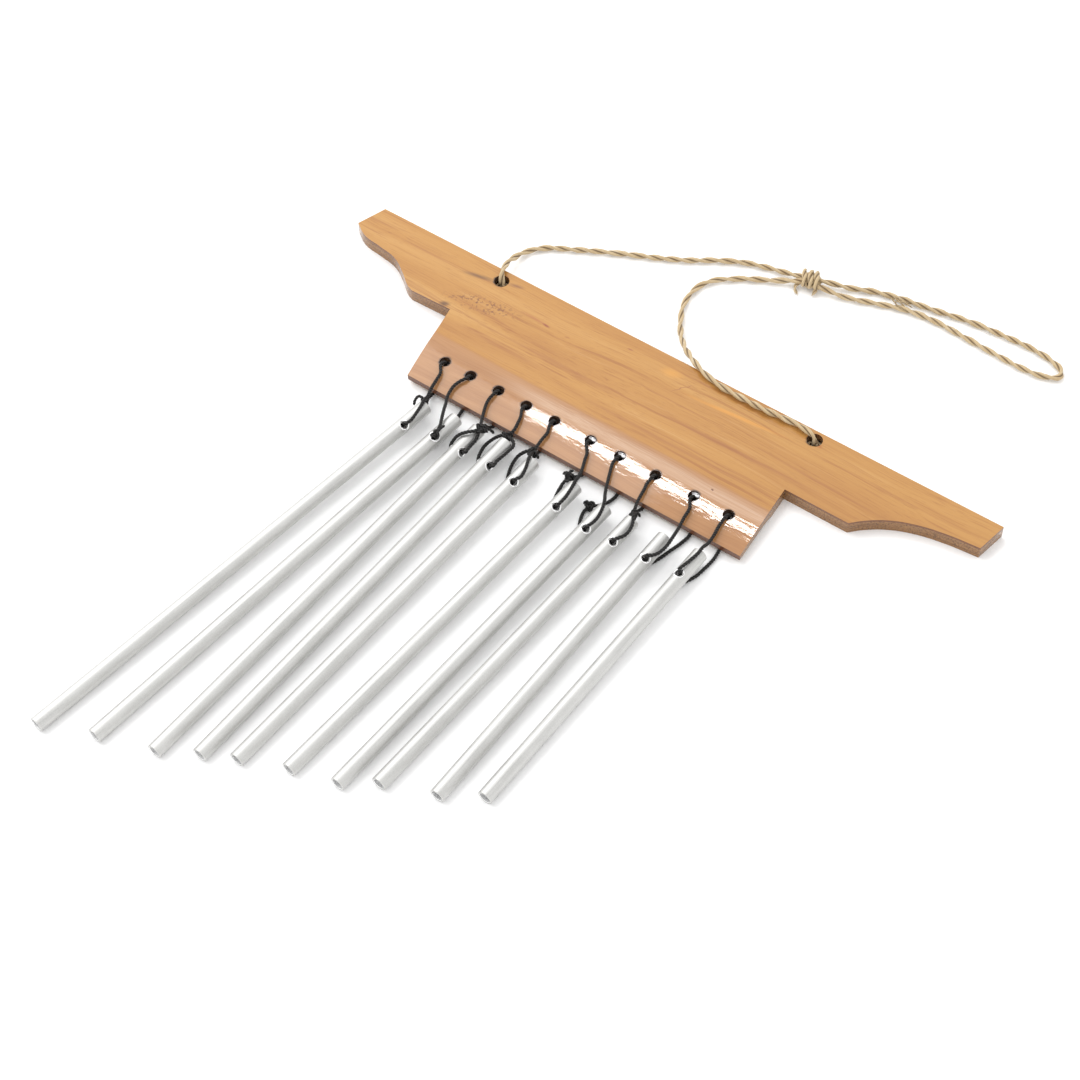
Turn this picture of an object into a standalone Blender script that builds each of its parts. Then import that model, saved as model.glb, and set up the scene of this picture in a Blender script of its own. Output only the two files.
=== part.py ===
"""Bamboo wind chime, lying flat: a notched bamboo board, ten metal tubes on cord loops, a twine hanger.

World frame, metres: X runs along the board, +Y points from the tubes to the hanger, +Z is up.
The surface that the chime lies on is z = 0, and the origin is at the middle of the board and tubes.
"""

import math

import bmesh
import bpy
from mathutils import Matrix, Vector

MM = 0.001

# Driving dimensions, in millimetres
BOARD_THICK = 6.5
BOARD_BACK_Y = 143.0
LIP_CREST_Y = 106.0  # the board is flat behind this line and rounds down in front of it
LIP_EDGE_Y = 73.0
LIP_DROP = 1.6
RELIEF_HEIGHT = 2.0  # room for the cords under the lip
RELIEF_START_Y = 100.0
RELIEF_FULL_Y = 94.0

LIP_HOLE_Y = 87.0
LIP_HOLE_R = 2.4
TWINE_HOLES = ((-84.4, 137.2), (73.1, 138.4))
TWINE_HOLE_R = 3.3
COUNTERBORE_R = 4.6
COUNTERBORE_DEPTH = 3.4

TUBE_R = 3.175
TUBE_WALL = 0.8
TUBE_LONGEST = 208.0
TUBE_STEP = 8.0  # each tube is this much shorter than the one before
TUBE_HOLE_R = 1.6
TUBE_HOLE_FROM_TOP = 14.0
TUBE_PIVOT_Z = 5.4  # the cord under a tube lifts its upper end off the surface
TUBE_FOOT_Z = 3.2

CORD_R = 0.7
CORD_KNOT_R = 1.8
BORE_KNOT_R = 1.6
TURN_Y, TURN_Z, TURN_R = 84.15, 4.0, 3.15  # a cord's half turn through its lip hole
SWING_Y, SWING_Z = 72.0, 3.8

TWINE_R = 1.4
HANGER_Y, HANGER_Z = 138.0, 8.0
STOPPER_SIZE = (3.9, 3.9, 1.45)
STOPPER_Z = 1.75
TWINE_KNOT_AT = (25.2, 215.2, 3.7)
TWINE_KNOT_SIZE = (6.0, 4.8, 3.3)
TWINE_KNOT_TURN = 17.0

TOUCH_GAP = 0.45
TURN_PER_POINT = math.radians(28)

# The board's outline from above: x, y, and whether the point is a sharp corner
OUTLINE = (
    (-152.9, 143.0, True), (-157.7, 129.4, True), (-151.0, 125.3, False), (-141.0, 123.6, False),
    (-131.5, 121.8, False), (-123.4, 117.0, False), (-117.0, 112.2, False), (-113.8, 110.9, True),
    (-93.4, 111.5, True), (-91.9, 103.0, False), (-89.7, 88.0, False), (-87.2, 73.0, True),
    (78.3, 73.0, True), (76.2, 110.0, True), (105.8, 109.9, True), (110.6, 114.6, False),
    (118.6, 120.2, False), (128.0, 124.2, False), (140.0, 127.0, False), (155.0, 128.7, True),
    (157.7, 143.0, True),
)

# One row for each chime, from the longest tube to the shortest: the lip hole's x, the tube's cross
# hole x and y, the tube's lean from the Y axis, and the roll of its cross hole (degrees)
CHIMES = (
    (-77.8, -72.1, 49.35, 8.4, 36.0), (-64.3, -57.2, 51.1, 6.7, 20.0), (-49.8, -45.4, 51.8, 3.3, 66.0),
    (-35.5, -31.8, 52.4, 2.95, 64.0), (-21.2, -17.0, 50.6, 3.8, 24.0), (-3.1, 4.2, 50.2, 4.9, 28.0),
    (11.5, 20.5, 47.9, 4.2, 22.0), (28.9, 32.8, 48.7, 4.25, 26.0), (47.5, 48.4, 49.2, 2.2, 16.0),
    (64.1, 64.4, 50.6, 2.8, -8.0),
)

# Each cord's routes from its lip hole: over the lip, and under it. Where both runs of the loop are
# tied together past the lip, these stop at the knot. Elsewhere they go on to the tube's cross hole.
CORD_OVER = (
    ((-75.2, 80.5, 7.0), (-74.5, 77.5, 6.9), (-73.5, 71.9, 6.7), (-72.7, 68.6, 6.2)),
    ((-65.5, 81.6, 7.0), (-66.3, 78.0, 6.9), (-65.9, 74.6, 6.8), (-65.0, 71.5, 6.8), (-63.1, 68.0, 7.5),
     (-60.2, 62.5, 9.3), (-57.8, 58.1, 10.2), (-56.2, 54.9, 10.6)),
    ((-49.9, 81.0, 7.0), (-49.6, 78.8, 6.9), (-48.5, 75.6, 6.8), (-47.0, 72.3, 6.9), (-44.9, 68.6, 8.6)),
    ((-33.5, 80.3, 6.95), (-32.5, 76.7, 6.85), (-31.8, 73.4, 6.7), (-31.9, 71.4, 6.5)),
    ((-19.4, 79.4, 6.95), (-19.4, 76.1, 6.85), (-19.2, 73.0, 6.7), (-19.1, 71.0, 6.5)),
    ((-0.1, 80.3, 6.95), (1.4, 76.4, 6.85), (2.8, 72.9, 6.8), (4.0, 69.4, 7.3), (4.9, 66.2, 9.0),
     (5.7, 63.2, 10.0), (6.5, 59.0, 10.1), (6.9, 54.7, 10.0), (6.7, 52.2, 9.8)),
    ((11.6, 81.8, 7.0), (12.9, 78.3, 6.9), (14.8, 73.8, 6.85), (16.6, 69.6, 7.0), (18.8, 65.6, 8.2),
     (20.9, 62.2, 9.9), (22.5, 58.0, 10.1), (23.3, 53.7, 10.0), (23.0, 50.4, 9.9)),
    ((28.9, 80.8, 6.95), (29.5, 78.4, 6.9), (30.2, 74.0, 6.8), (31.0, 70.2, 6.6)),
    ((49.8, 80.4, 6.95), (50.6, 74.9, 6.85), (51.6, 70.2, 7.2), (52.9, 64.0, 9.2), (53.5, 57.4, 9.8),
     (52.8, 53.0, 10.0), (51.2, 50.6, 10.0)),
    ((64.3, 79.7, 6.95), (65.2, 73.6, 6.85), (65.4, 69.4, 7.3), (65.6, 65.4, 9.65), (65.7, 61.8, 10.0),
     (65.0, 57.0, 10.1), (64.3, 53.4, 10.2)),
)
CORD_UNDER = (
    ((-75.6, 79.0, 1.0), (-74.4, 74.5, 1.0), (-73.9, 70.6, 1.9)),
    ((-61.0, 79.0, 1.0), (-58.8, 73.7, 1.0), (-58.2, 69.9, 1.0), (-57.7, 62.0, 1.0), (-58.3, 55.0, 1.0)),
    ((-45.6, 79.0, 1.0), (-42.8, 74.6, 1.0), (-43.4, 71.6, 1.6), (-43.3, 69.4, 4.6), (-42.9, 67.4, 7.8)),
    ((-34.6, 78.6, 0.9), (-34.8, 75.4, 0.95), (-34.3, 72.2, 1.1), (-33.6, 70.8, 2.8)),
    ((-20.6, 78.6, 0.9), (-19.4, 75.0, 0.95), (-19.5, 72.0, 1.1), (-19.4, 70.5, 2.6)),
    ((-0.6, 79.0, 1.0), (2.4, 74.4, 1.0), (1.4, 71.7, 1.3), (-0.8, 68.2, 3.0), (-1.7, 65.2, 1.4),
     (-1.4, 62.2, 1.0), (-0.7, 59.0, 1.0), (0.6, 55.0, 1.0)),
    ((16.4, 79.5, 1.0), (19.6, 73.4, 1.0), (19.0, 68.4, 1.1), (17.0, 64.2, 1.6), (14.2, 61.4, 2.3),
     (13.4, 58.6, 1.2), (13.8, 56.2, 1.0), (15.4, 52.4, 1.0)),
    ((31.0, 79.0, 1.0), (31.9, 73.4, 1.0), (31.6, 70.4, 2.0)),
    ((52.0, 79.5, 1.0), (54.9, 73.0, 1.0), (54.2, 67.3, 1.0), (52.8, 62.1, 1.0), (51.4, 56.9, 1.0),
     (49.8, 53.0, 1.0)),
    ((67.2, 79.0, 1.0), (68.8, 72.6, 1.0), (69.2, 67.4, 1.0), (68.7, 62.4, 1.0), (67.8, 57.2, 1.0),
     (66.3, 53.6, 1.0)),
)
# Below a knot that ties both runs: from the knot to the tube's upper hole, and to its lower hole
LOOP_UPPER = {
    1: ((-71.2, 64.8, 8.6), (-70.4, 63.0, 9.95), (-69.5, 59.6, 10.1), (-68.8, 54.9, 9.9), (-68.6, 51.6, 9.6)),
    3: ((-41.5, 61.4, 9.0), (-41.1, 59.1, 8.2), (-41.2, 56.3, 7.9), (-41.2, 53.9, 7.7)),
    4: ((-28.8, 68.3, 6.4), (-27.0, 65.8, 6.9), (-26.9, 62.0, 7.6), (-27.0, 58.5, 8.1), (-27.5, 55.2, 8.1)),
    5: ((-18.0, 66.1, 8.4), (-17.2, 64.1, 9.8), (-16.3, 61.6, 10.0), (-15.2, 58.8, 9.9), (-14.3, 55.8, 9.8),
        (-14.0, 53.0, 9.8)),
    8: ((33.2, 64.6, 8.3), (34.4, 62.7, 9.9), (36.0, 60.2, 9.7), (37.1, 56.6, 9.8), (37.0, 52.8, 9.8)),
}
LOOP_LOWER = {
    1: ((-72.5, 66.7, 2.3), (-72.4, 64.6, 1.0), (-72.4, 59.0, 1.0), (-73.9, 52.8, 1.0)),
    3: ((-43.2, 61.5, 10.2), (-45.3, 59.5, 10.1), (-47.5, 57.9, 9.1), (-49.0, 56.6, 7.5), (-49.8, 55.4, 5.9),
        (-50.0, 53.8, 4.5)),
    4: ((-34.8, 68.9, 5.5), (-36.5, 66.9, 5.0), (-37.6, 64.1, 4.6), (-38.1, 61.2, 4.3), (-37.8, 58.3, 4.1),
        (-37.0, 55.4, 3.9)),
    5: ((-21.4, 69.0, 4.7), (-23.2, 67.8, 3.6), (-24.4, 65.9, 2.6), (-24.6, 63.4, 2.0), (-24.2, 60.4, 1.5),
        (-23.2, 57.2, 1.1), (-21.2, 53.4, 1.0)),
    8: ((32.7, 66.2, 2.6), (32.7, 64.4, 1.0), (32.4, 60.6, 1.0), (32.0, 57.0, 1.0), (31.6, 52.6, 1.0)),
}
LOOP_KNOTS = {
    1: (-72.5, 65.7, 5.0), 3: (-41.9, 63.8, 10.1), 4: (-32.3, 69.3, 6.0), 5: (-18.9, 68.3, 6.0),
    8: (32.3, 66.0, 5.5),
}
# Elsewhere one knot closes the loop: over the tube's hole, on the run under the lip, or in the bore,
# where it has been pulled out of sight
HOLE_KNOT_HEIGHT = {2: 5.4}
UNDER_KNOTS = {6: 3, 7: 4}
BORE_KNOTS = (9, 10)

# The twine's routes: board hole to knot, the hanging loop, and knot to the other board hole
TWINE_LEFT = (
    (-84.4, 137.2, 3.9), (-84.5, 137.3, 5.4), (-85.4, 138.6, 7.8), (-86.6, 141.4, 8.6), (-88.2, 146.2, 7.2),
    (-89.3, 152.4, 4.4), (-88.9, 158.8, 2.2), (-85.6, 164.4, 1.75), (-80.4, 168.8, 1.75),
    (-73.0, 172.8, 1.75), (-61.5, 179.0, 1.75), (-49.5, 184.9, 1.75), (-37.3, 190.6, 1.75), (-25.7, 196.9, 1.75),
    (-15.0, 204.0, 1.75), (-5.1, 209.1, 1.75), (3.6, 212.0, 1.75), (11.6, 213.6, 2.1), (18.6, 214.6, 3.0),
)
TWINE_LOOP = (
    (31.6, 218.6, 3.0), (40.8, 221.9, 2.0), (50.5, 226.2, 1.75), (61.5, 229.0, 1.75), (77.3, 231.5, 1.75),
    (92.8, 234.2, 1.75), (107.0, 235.2, 1.75), (121.0, 235.6, 1.75), (131.6, 234.3, 1.75),
    (137.4, 231.8, 1.75), (138.7, 228.4, 1.75), (134.4, 225.2, 1.75), (125.0, 223.7, 1.75),
    (110.0, 224.2, 1.75), (95.4, 225.2, 1.75), (80.0, 226.0, 1.75), (66.4, 224.6, 1.75),
    (53.0, 220.2, 1.75), (41.0, 216.0, 2.0), (32.2, 214.4, 3.0),
)
TWINE_RIGHT = (
    (73.2, 138.5, 3.7), (73.0, 138.5, 5.6), (72.0, 138.7, 7.8), (69.3, 139.2, 8.6), (64.4, 140.0, 8.3),
    (57.0, 139.8, 8.25), (48.0, 139.1, 8.25), (38.8, 139.1, 8.25), (28.8, 139.4, 8.25), (21.4, 140.5, 8.3),
    (14.2, 142.7, 8.4), (7.4, 146.2, 7.9), (0.6, 151.8, 5.2), (-5.8, 159.0, 2.6), (-10.5, 166.3, 1.75),
    (-13.7, 173.3, 1.75), (-14.8, 180.0, 1.75), (-14.0, 186.8, 1.75), (-10.8, 192.6, 1.75),
    (-5.0, 197.6, 1.75), (1.8, 202.3, 1.75), (9.6, 206.4, 1.9), (17.6, 210.6, 2.7),
)

MATERIALS = {
    "bamboo": ((0.69, 0.36, 0.13), 0.35, 0.0),
    "aluminium": ((0.78, 0.79, 0.80), 0.3, 1.0),
    "black_cord": ((0.012, 0.012, 0.014), 0.6, 0.0),
    "twine": ((0.52, 0.42, 0.27), 0.9, 0.0),
}


def clear_scene():
    for old in list(bpy.data.objects):
        bpy.data.objects.remove(old, do_unlink=True)


def make_collection(name):
    made = bpy.data.collections.new(name)
    bpy.context.scene.collection.children.link(made)
    return made


def make_material(name):
    colour, roughness, metallic = MATERIALS[name]
    material = bpy.data.materials.new(name)
    material.use_nodes = True
    shader = material.node_tree.nodes["Principled BSDF"]
    shader.inputs["Base Color"].default_value = (*colour, 1.0)
    shader.inputs["Roughness"].default_value = roughness
    shader.inputs["Metallic"].default_value = metallic
    return material


def metres(point):
    return Vector(point) * MM


def link_object(name, data, material, parent=None, at=(0.0, 0.0, 0.0)):
    """A new part whose origin is at a world point in millimetres, under a parent that isn't turned."""
    made = bpy.data.objects.new(name, data)
    PARTS.objects.link(made)
    data.materials.append(material)
    made.parent = parent
    made.location = metres(at) - (parent.location if parent else Vector())
    return made


def make_pivot(name, at):
    pivot = bpy.data.objects.new(name, None)
    pivot.empty_display_size = 0.01
    pivot.location = metres(at)
    PARTS.objects.link(pivot)
    return pivot


def make_cutter(name, mesh, matrix=None):
    cutter = bpy.data.objects.new(name, mesh)
    cutter.matrix_world = matrix or Matrix()
    cutter.hide_render = True
    cutter.display_type = "WIRE"
    CUTTERS.objects.link(cutter)
    return cutter


def rod_mesh(name, radius, length, sides):
    """A closed cylinder along Z, centred on its origin, in millimetres."""
    mesh = bpy.data.meshes.new(name)
    shape = bmesh.new()
    bmesh.ops.create_cone(
        shape, cap_ends=True, segments=sides, radius1=radius * MM, radius2=radius * MM, depth=length * MM
    )
    shape.to_mesh(mesh)
    shape.free()
    return mesh


def cut(target, cutter, operation="DIFFERENCE"):
    boolean = target.modifiers.new(f"{operation.lower()}_{cutter.name}", "BOOLEAN")
    boolean.operation = operation
    boolean.object = cutter
    boolean.solver = "EXACT"


def curve_to_mesh(name, curve, matrix=None):
    """The closed mesh of a filled, extruded curve, with its caps welded on."""
    holder = bpy.data.objects.new(name, curve)
    holder.matrix_world = matrix or Matrix()
    bpy.context.scene.collection.objects.link(holder)
    bpy.context.view_layer.update()
    evaluated = holder.evaluated_get(bpy.context.evaluated_depsgraph_get())
    mesh = bpy.data.meshes.new_from_object(evaluated)
    mesh.transform(holder.matrix_world)
    bpy.data.objects.remove(holder, do_unlink=True)
    shape = bmesh.new()
    shape.from_mesh(mesh)
    bmesh.ops.remove_doubles(shape, verts=shape.verts, dist=0.00001)
    bmesh.ops.recalc_face_normals(shape, faces=shape.faces)
    shape.to_mesh(mesh)
    shape.free()
    return mesh


def flat_curve(name, points, half_height):
    """A filled 2D outline: sharp corners have straight handles, and the rest run smoothly."""
    curve = bpy.data.curves.new(name, "CURVE")
    curve.dimensions = "2D"
    curve.fill_mode = "BOTH"
    curve.extrude = half_height * MM
    curve.resolution_u = 3
    spline = curve.splines.new("BEZIER")
    spline.bezier_points.add(len(points) - 1)
    spline.use_cyclic_u = True
    for place, (x, y, sharp) in zip(spline.bezier_points, points):
        place.co = (x * MM, y * MM, 0.0)
        place.handle_left_type = place.handle_right_type = "VECTOR" if sharp else "AUTO"
    return curve


def lip_top(y):
    """Height of the board's upper face: flat at the back, then rounding down to the lip's edge."""
    past = max(0.0, LIP_CREST_Y - y) / (LIP_CREST_Y - LIP_EDGE_Y)
    return BOARD_THICK - LIP_DROP * past**2


def board_section():
    """The board's cross-section as y, z corners, longer than the board at both ends."""
    steps = 8
    over = 4.0
    upper = [LIP_CREST_Y - (LIP_CREST_Y - LIP_EDGE_Y) * k / steps for k in range(steps + 1)]
    corners = [(BOARD_BACK_Y + over, 0.0), (BOARD_BACK_Y + over, BOARD_THICK)]
    corners += [(y, lip_top(y)) for y in upper]
    corners += [(LIP_EDGE_Y - over, lip_top(LIP_EDGE_Y)), (LIP_EDGE_Y - over, RELIEF_HEIGHT)]
    corners += [(RELIEF_FULL_Y, RELIEF_HEIGHT), (RELIEF_START_Y, 0.0)]
    return corners


def make_board(material):
    outline = flat_curve("board_outline", OUTLINE, BOARD_THICK)
    mesh = curve_to_mesh("board_blank", outline, Matrix.Translation((0.0, 0.0, BOARD_THICK * MM / 2)))
    mesh.name = "bamboo_board"
    board = link_object("bamboo_board", mesh, material)

    corners = [(y, z, True) for y, z in board_section()]
    section = flat_curve("board_section", corners, 200.0)
    upright = Matrix(((0, 0, 1, 0), (1, 0, 0, 0), (0, 1, 0, 0), (0, 0, 0, 1)))
    cut(board, make_cutter("section_cutter", curve_to_mesh("board_section", section, upright)), "INTERSECT")

    drill = rod_mesh("lip_drill", LIP_HOLE_R, 30.0, 16)
    for number, row in enumerate(CHIMES, 1):
        place = Matrix.Translation(metres((row[0], LIP_HOLE_Y, 0.0)))
        cut(board, make_cutter(f"lip_drill_{number:02d}", drill, place))
    drill = rod_mesh("twine_drill", TWINE_HOLE_R, 30.0, 16)
    sink = rod_mesh("counterbore", COUNTERBORE_R, 2 * COUNTERBORE_DEPTH, 16)
    for side, (x, y) in zip(("left", "right"), TWINE_HOLES):
        place = Matrix.Translation(metres((x, y, 0.0)))
        cut(board, make_cutter(f"twine_drill_{side}", drill, place))
        cut(board, make_cutter(f"counterbore_{side}", sink, place))
    return board


def tube_frame(row, length):
    """A tube's place: its local Z runs to its upper end, and its local Y is its cross hole."""
    _, x, y, lean, roll = row
    rise = math.asin((TUBE_PIVOT_Z - TUBE_FOOT_Z) / (length - TUBE_HOLE_FROM_TOP))
    turn = Matrix.Rotation(-math.radians(lean), 4, "Z")
    lie = Matrix.Rotation(rise - math.radians(90), 4, "X")
    spin = Matrix.Rotation(math.radians(roll), 4, "Z")
    return Matrix.Translation(metres((x, y, TUBE_PIVOT_Z))) @ turn @ lie @ spin


def tube_mesh(name, length):
    """The tube's wall as a closed profile, for a Screw modifier around its axis."""
    top = TUBE_HOLE_FROM_TOP
    inner = TUBE_R - TUBE_WALL
    corners = ((TUBE_R, top), (TUBE_R, top - length), (inner, top - length), (inner, top))
    mesh = bpy.data.meshes.new(name)
    shape = bmesh.new()
    ring = [shape.verts.new((r * MM, 0.0, z * MM)) for r, z in corners]
    for start, end in zip(ring, ring[1:] + ring[:1]):
        shape.edges.new((start, end))
    shape.to_mesh(mesh)
    shape.free()
    return mesh


def make_tube(number, row, pivot, material):
    name = f"tube_{number:02d}"
    length = TUBE_LONGEST - TUBE_STEP * (number - 1)
    frame = tube_frame(row, length)
    tube = link_object(name, tube_mesh(name, length), material, pivot, frame.translation / MM)
    tube.rotation_euler = frame.to_euler()
    screw = tube.modifiers.new("turned_wall", "SCREW")
    screw.axis = "Z"
    screw.steps = screw.render_steps = 24
    screw.use_merge_vertices = True
    screw.merge_threshold = 0.00001
    screw.use_smooth_shade = True
    across = Matrix.Rotation(math.radians(90), 4, "X")
    drill = rod_mesh(f"{name}_drill", TUBE_HOLE_R, 4 * TUBE_R, 12)
    cut(tube, make_cutter(f"{name}_drill", drill, frame @ across))
    return tube


def smooth_through(points):
    """Fine samples of a smooth curve through every point, with even handling of unequal gaps."""
    places = [Vector(p) for p in points]
    places = [2 * places[0] - places[1]] + places + [2 * places[-1] - places[-2]]
    samples = []
    for p0, p1, p2, p3 in zip(places, places[1:], places[2:], places[3:]):
        gaps = [(b - a).length ** 0.5 for a, b in ((p0, p1), (p1, p2), (p2, p3))]
        leave = (p2 - p1) + gaps[1] * ((p1 - p0) / gaps[0] - (p2 - p0) / (gaps[0] + gaps[1]))
        arrive = (p2 - p1) + gaps[1] * ((p3 - p2) / gaps[2] - (p3 - p1) / (gaps[1] + gaps[2]))
        for step in range(24):
            t = step / 24
            samples.append(
                (2 * t**3 - 3 * t**2 + 1) * p1 + (t**3 - 2 * t**2 + t) * leave
                + (3 * t**2 - 2 * t**3) * p2 + (t**3 - t**2) * arrive
            )
    return samples + [places[-2]]


def thin_out(samples, longest):
    """Keep a point wherever the route has turned or run far enough."""
    kept = [samples[0]]
    turned = run = 0.0
    for before, here, after in zip(samples, samples[1:], samples[2:]):
        run += (here - before).length
        turned += (here - before).angle(after - here, 0.0)
        if turned > TURN_PER_POINT or run > longest:
            kept.append(here)
            turned = run = 0.0
    if (kept[-1] - samples[-1]).length < longest / 4:
        kept.pop()
    return kept + [samples[-1]]


def trim(samples, start_gap, end_gap):
    """Take a length off each end of a route."""
    for gap in (start_gap, end_gap):
        gone = 0.0
        while gone < gap:
            gone += (samples[1] - samples[0]).length
            samples = samples[1:]
        samples = samples[::-1]
    return samples


def tube_along(name, samples, radius, material, pivot, at):
    """A cord's solid: a round section with closed ends along a thinned-out route."""
    points = thin_out(samples, 6 * radius)
    curve = bpy.data.curves.new(name, "CURVE")
    curve.dimensions = "3D"
    curve.bevel_depth = radius * MM
    curve.bevel_resolution = 2
    curve.use_fill_caps = True
    spline = curve.splines.new("POLY")
    spline.points.add(len(points) - 1)
    for place, point in zip(spline.points, points):
        place.co = (*(metres(point) - metres(at)), 1.0)
    return link_object(name, curve, material, pivot, at)


def make_lump(name, size, at, material, pivot=None, turn=0.0):
    """A tied knot as a plain round solid."""
    mesh = bpy.data.meshes.new(name)
    shape = bmesh.new()
    bmesh.ops.create_uvsphere(shape, u_segments=12, v_segments=8, radius=1.0)
    bmesh.ops.scale(shape, vec=metres(size), verts=shape.verts)
    turned = Matrix.Rotation(math.radians(turn), 3, "Z")
    bmesh.ops.rotate(shape, cent=(0, 0, 0), matrix=turned, verts=shape.verts)
    shape.to_mesh(mesh)
    shape.free()
    mesh.shade_smooth()
    return link_object(name, mesh, material, pivot, at)


def cross_hole_runs(number, row):
    """The cord's way into the tube from above, and out of it below, each towards the bore's middle."""
    hole = tube_frame(row, TUBE_LONGEST - TUBE_STEP * (number - 1))
    centre = hole.translation / MM
    up = (hole.to_3x3() @ Vector((0, -1, 0))).normalized()
    forward = Vector((0, 1, 0))
    from_above = [centre + 4.5 * up + 0.8 * forward, centre + 2.8 * up]
    from_below = [centre - 4.1 * up + 0.3 * forward, centre - 2.2 * up]
    return centre, up, from_above, from_below


def half_turn(lip_x):
    """The cord's way down through its lip hole, from over the lip to under it."""
    angles = [math.radians(90 - 30 * step) for step in range(7)]
    return [
        Vector((lip_x, TURN_Y + TURN_R * math.cos(angle), TURN_Z + TURN_R * math.sin(angle)))
        for angle in angles
    ]


def cord_runs(number, row):
    """The knot's place and radius, and one or two named runs of cord that start and end at it."""
    centre, up, from_above, from_below = cross_hole_runs(number, row)
    over = [Vector(p) for p in CORD_OVER[number - 1]]
    under = [Vector(p) for p in CORD_UNDER[number - 1]]
    upper = over[::-1] + half_turn(row[0]) + under
    through = from_above + [centre] + from_below[::-1]
    if number in LOOP_KNOTS:
        knot = Vector(LOOP_KNOTS[number])
        to_upper = [Vector(p) for p in LOOP_UPPER[number]]
        to_lower = [Vector(p) for p in LOOP_LOWER[number]]
        runs = {
            f"cord_{number:02d}": [knot] + upper + [knot],
            f"cord_loop_{number:02d}": [knot] + to_upper + through + to_lower[::-1] + [knot],
        }
        return knot, CORD_KNOT_R, runs
    if number in HOLE_KNOT_HEIGHT:
        knot = centre + HOLE_KNOT_HEIGHT[number] * up
        return knot, CORD_KNOT_R, {f"cord_{number:02d}": [knot] + upper + through[:0:-1] + [knot]}
    ring = over[::-1] + half_turn(row[0]) + under + through[::-1]
    knot = centre if number in BORE_KNOTS else under[UNDER_KNOTS[number]]
    first = ring.index(knot)
    run = ring[first:] + ring[:first] + [knot]
    return knot, BORE_KNOT_R if number in BORE_KNOTS else CORD_KNOT_R, {f"cord_{number:02d}": run}


def make_chime(number, row, metals, cords):
    swing_at = (row[1], SWING_Y, SWING_Z)
    pivot = make_pivot(f"swing_{number:02d}", swing_at)
    make_tube(number, row, pivot, metals)
    knot, knot_r, runs = cord_runs(number, row)
    gap = knot_r + TOUCH_GAP
    for name, run in runs.items():
        tube_along(name, trim(smooth_through(run), gap, gap), CORD_R, cords, pivot, swing_at)
    make_lump(f"cord_knot_{number:02d}", (knot_r,) * 3, knot, cords, pivot)


def make_hanger(material):
    at = (0.0, HANGER_Y, HANGER_Z)
    pivot = make_pivot("hanger_pivot", at)
    for side, hole, route in (("left", TWINE_HOLES[0], TWINE_LEFT), ("right", TWINE_HOLES[1], TWINE_RIGHT)):
        tube_along(f"twine_{side}", smooth_through(route), TWINE_R, material, pivot, at)
        make_lump(f"twine_stopper_{side}", STOPPER_SIZE, (*hole, STOPPER_Z), material)
    tube_along("twine_loop", smooth_through(TWINE_LOOP), TWINE_R, material, pivot, at)
    make_lump("twine_knot", TWINE_KNOT_SIZE, TWINE_KNOT_AT, material, pivot, TWINE_KNOT_TURN)


clear_scene()
PARTS = make_collection("wind_chime")
CUTTERS = make_collection("cutters")
made_of = {name: make_material(name) for name in MATERIALS}
make_board(made_of["bamboo"])
for chime_number, chime_row in enumerate(CHIMES, 1):
    make_chime(chime_number, chime_row, made_of["aluminium"], made_of["black_cord"])
make_hanger(made_of["twine"])
bpy.context.view_layer.update()
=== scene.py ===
"""Looks for the bamboo wind chime, in metres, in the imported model's own frame.

X runs along the board, +Y points from the tubes to the hanger, and the floor is z = 0.
The camera and the cords come first, then the board, the tubes, and the floor and lights.
"""

import math
import random

import bmesh
import bpy
import numpy as np
from mathutils import Matrix, Vector, noise


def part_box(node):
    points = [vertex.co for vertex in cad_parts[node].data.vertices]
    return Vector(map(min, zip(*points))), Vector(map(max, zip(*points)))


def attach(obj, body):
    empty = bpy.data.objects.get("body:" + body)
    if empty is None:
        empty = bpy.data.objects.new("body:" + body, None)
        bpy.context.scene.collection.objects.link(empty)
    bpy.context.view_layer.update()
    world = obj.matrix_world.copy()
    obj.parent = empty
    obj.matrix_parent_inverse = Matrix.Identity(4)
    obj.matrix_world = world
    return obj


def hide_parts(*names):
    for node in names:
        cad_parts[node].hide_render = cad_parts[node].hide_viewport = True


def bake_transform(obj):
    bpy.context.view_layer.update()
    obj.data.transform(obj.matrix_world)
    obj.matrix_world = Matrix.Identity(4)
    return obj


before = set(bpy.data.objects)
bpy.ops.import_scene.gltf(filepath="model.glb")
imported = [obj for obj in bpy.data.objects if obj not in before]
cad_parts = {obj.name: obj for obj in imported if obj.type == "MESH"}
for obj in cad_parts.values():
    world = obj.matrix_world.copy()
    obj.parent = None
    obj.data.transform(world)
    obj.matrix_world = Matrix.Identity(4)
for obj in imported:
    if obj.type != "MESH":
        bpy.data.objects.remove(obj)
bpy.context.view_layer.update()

MM = 0.001
WELD = 0.01 * MM

# The camera, where the photographer stood
CAMERA_AT = Vector((0.3159, -0.3697, 0.7182))
CAMERA_AZIMUTH, CAMERA_ELEVATION, CAMERA_ROLL = 37.24, 54.54, -2.35
LENS = 73.2

# The lights: a big softbox at the left, and a strip that the lip mirrors
WORLD_LIGHT = 1.12
KEY_AT, KEY_SIZE, KEY_POWER = (-1.35, 0.15, 1.55), (1.7, 1.7), 20.0
GLOSS_AT = Vector((0.028, 0.0858, 0.0059))
STRIP_FAR, STRIP_SIZE, STRIP_POWER = 1.2, (0.27, 0.046), 1.2

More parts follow.
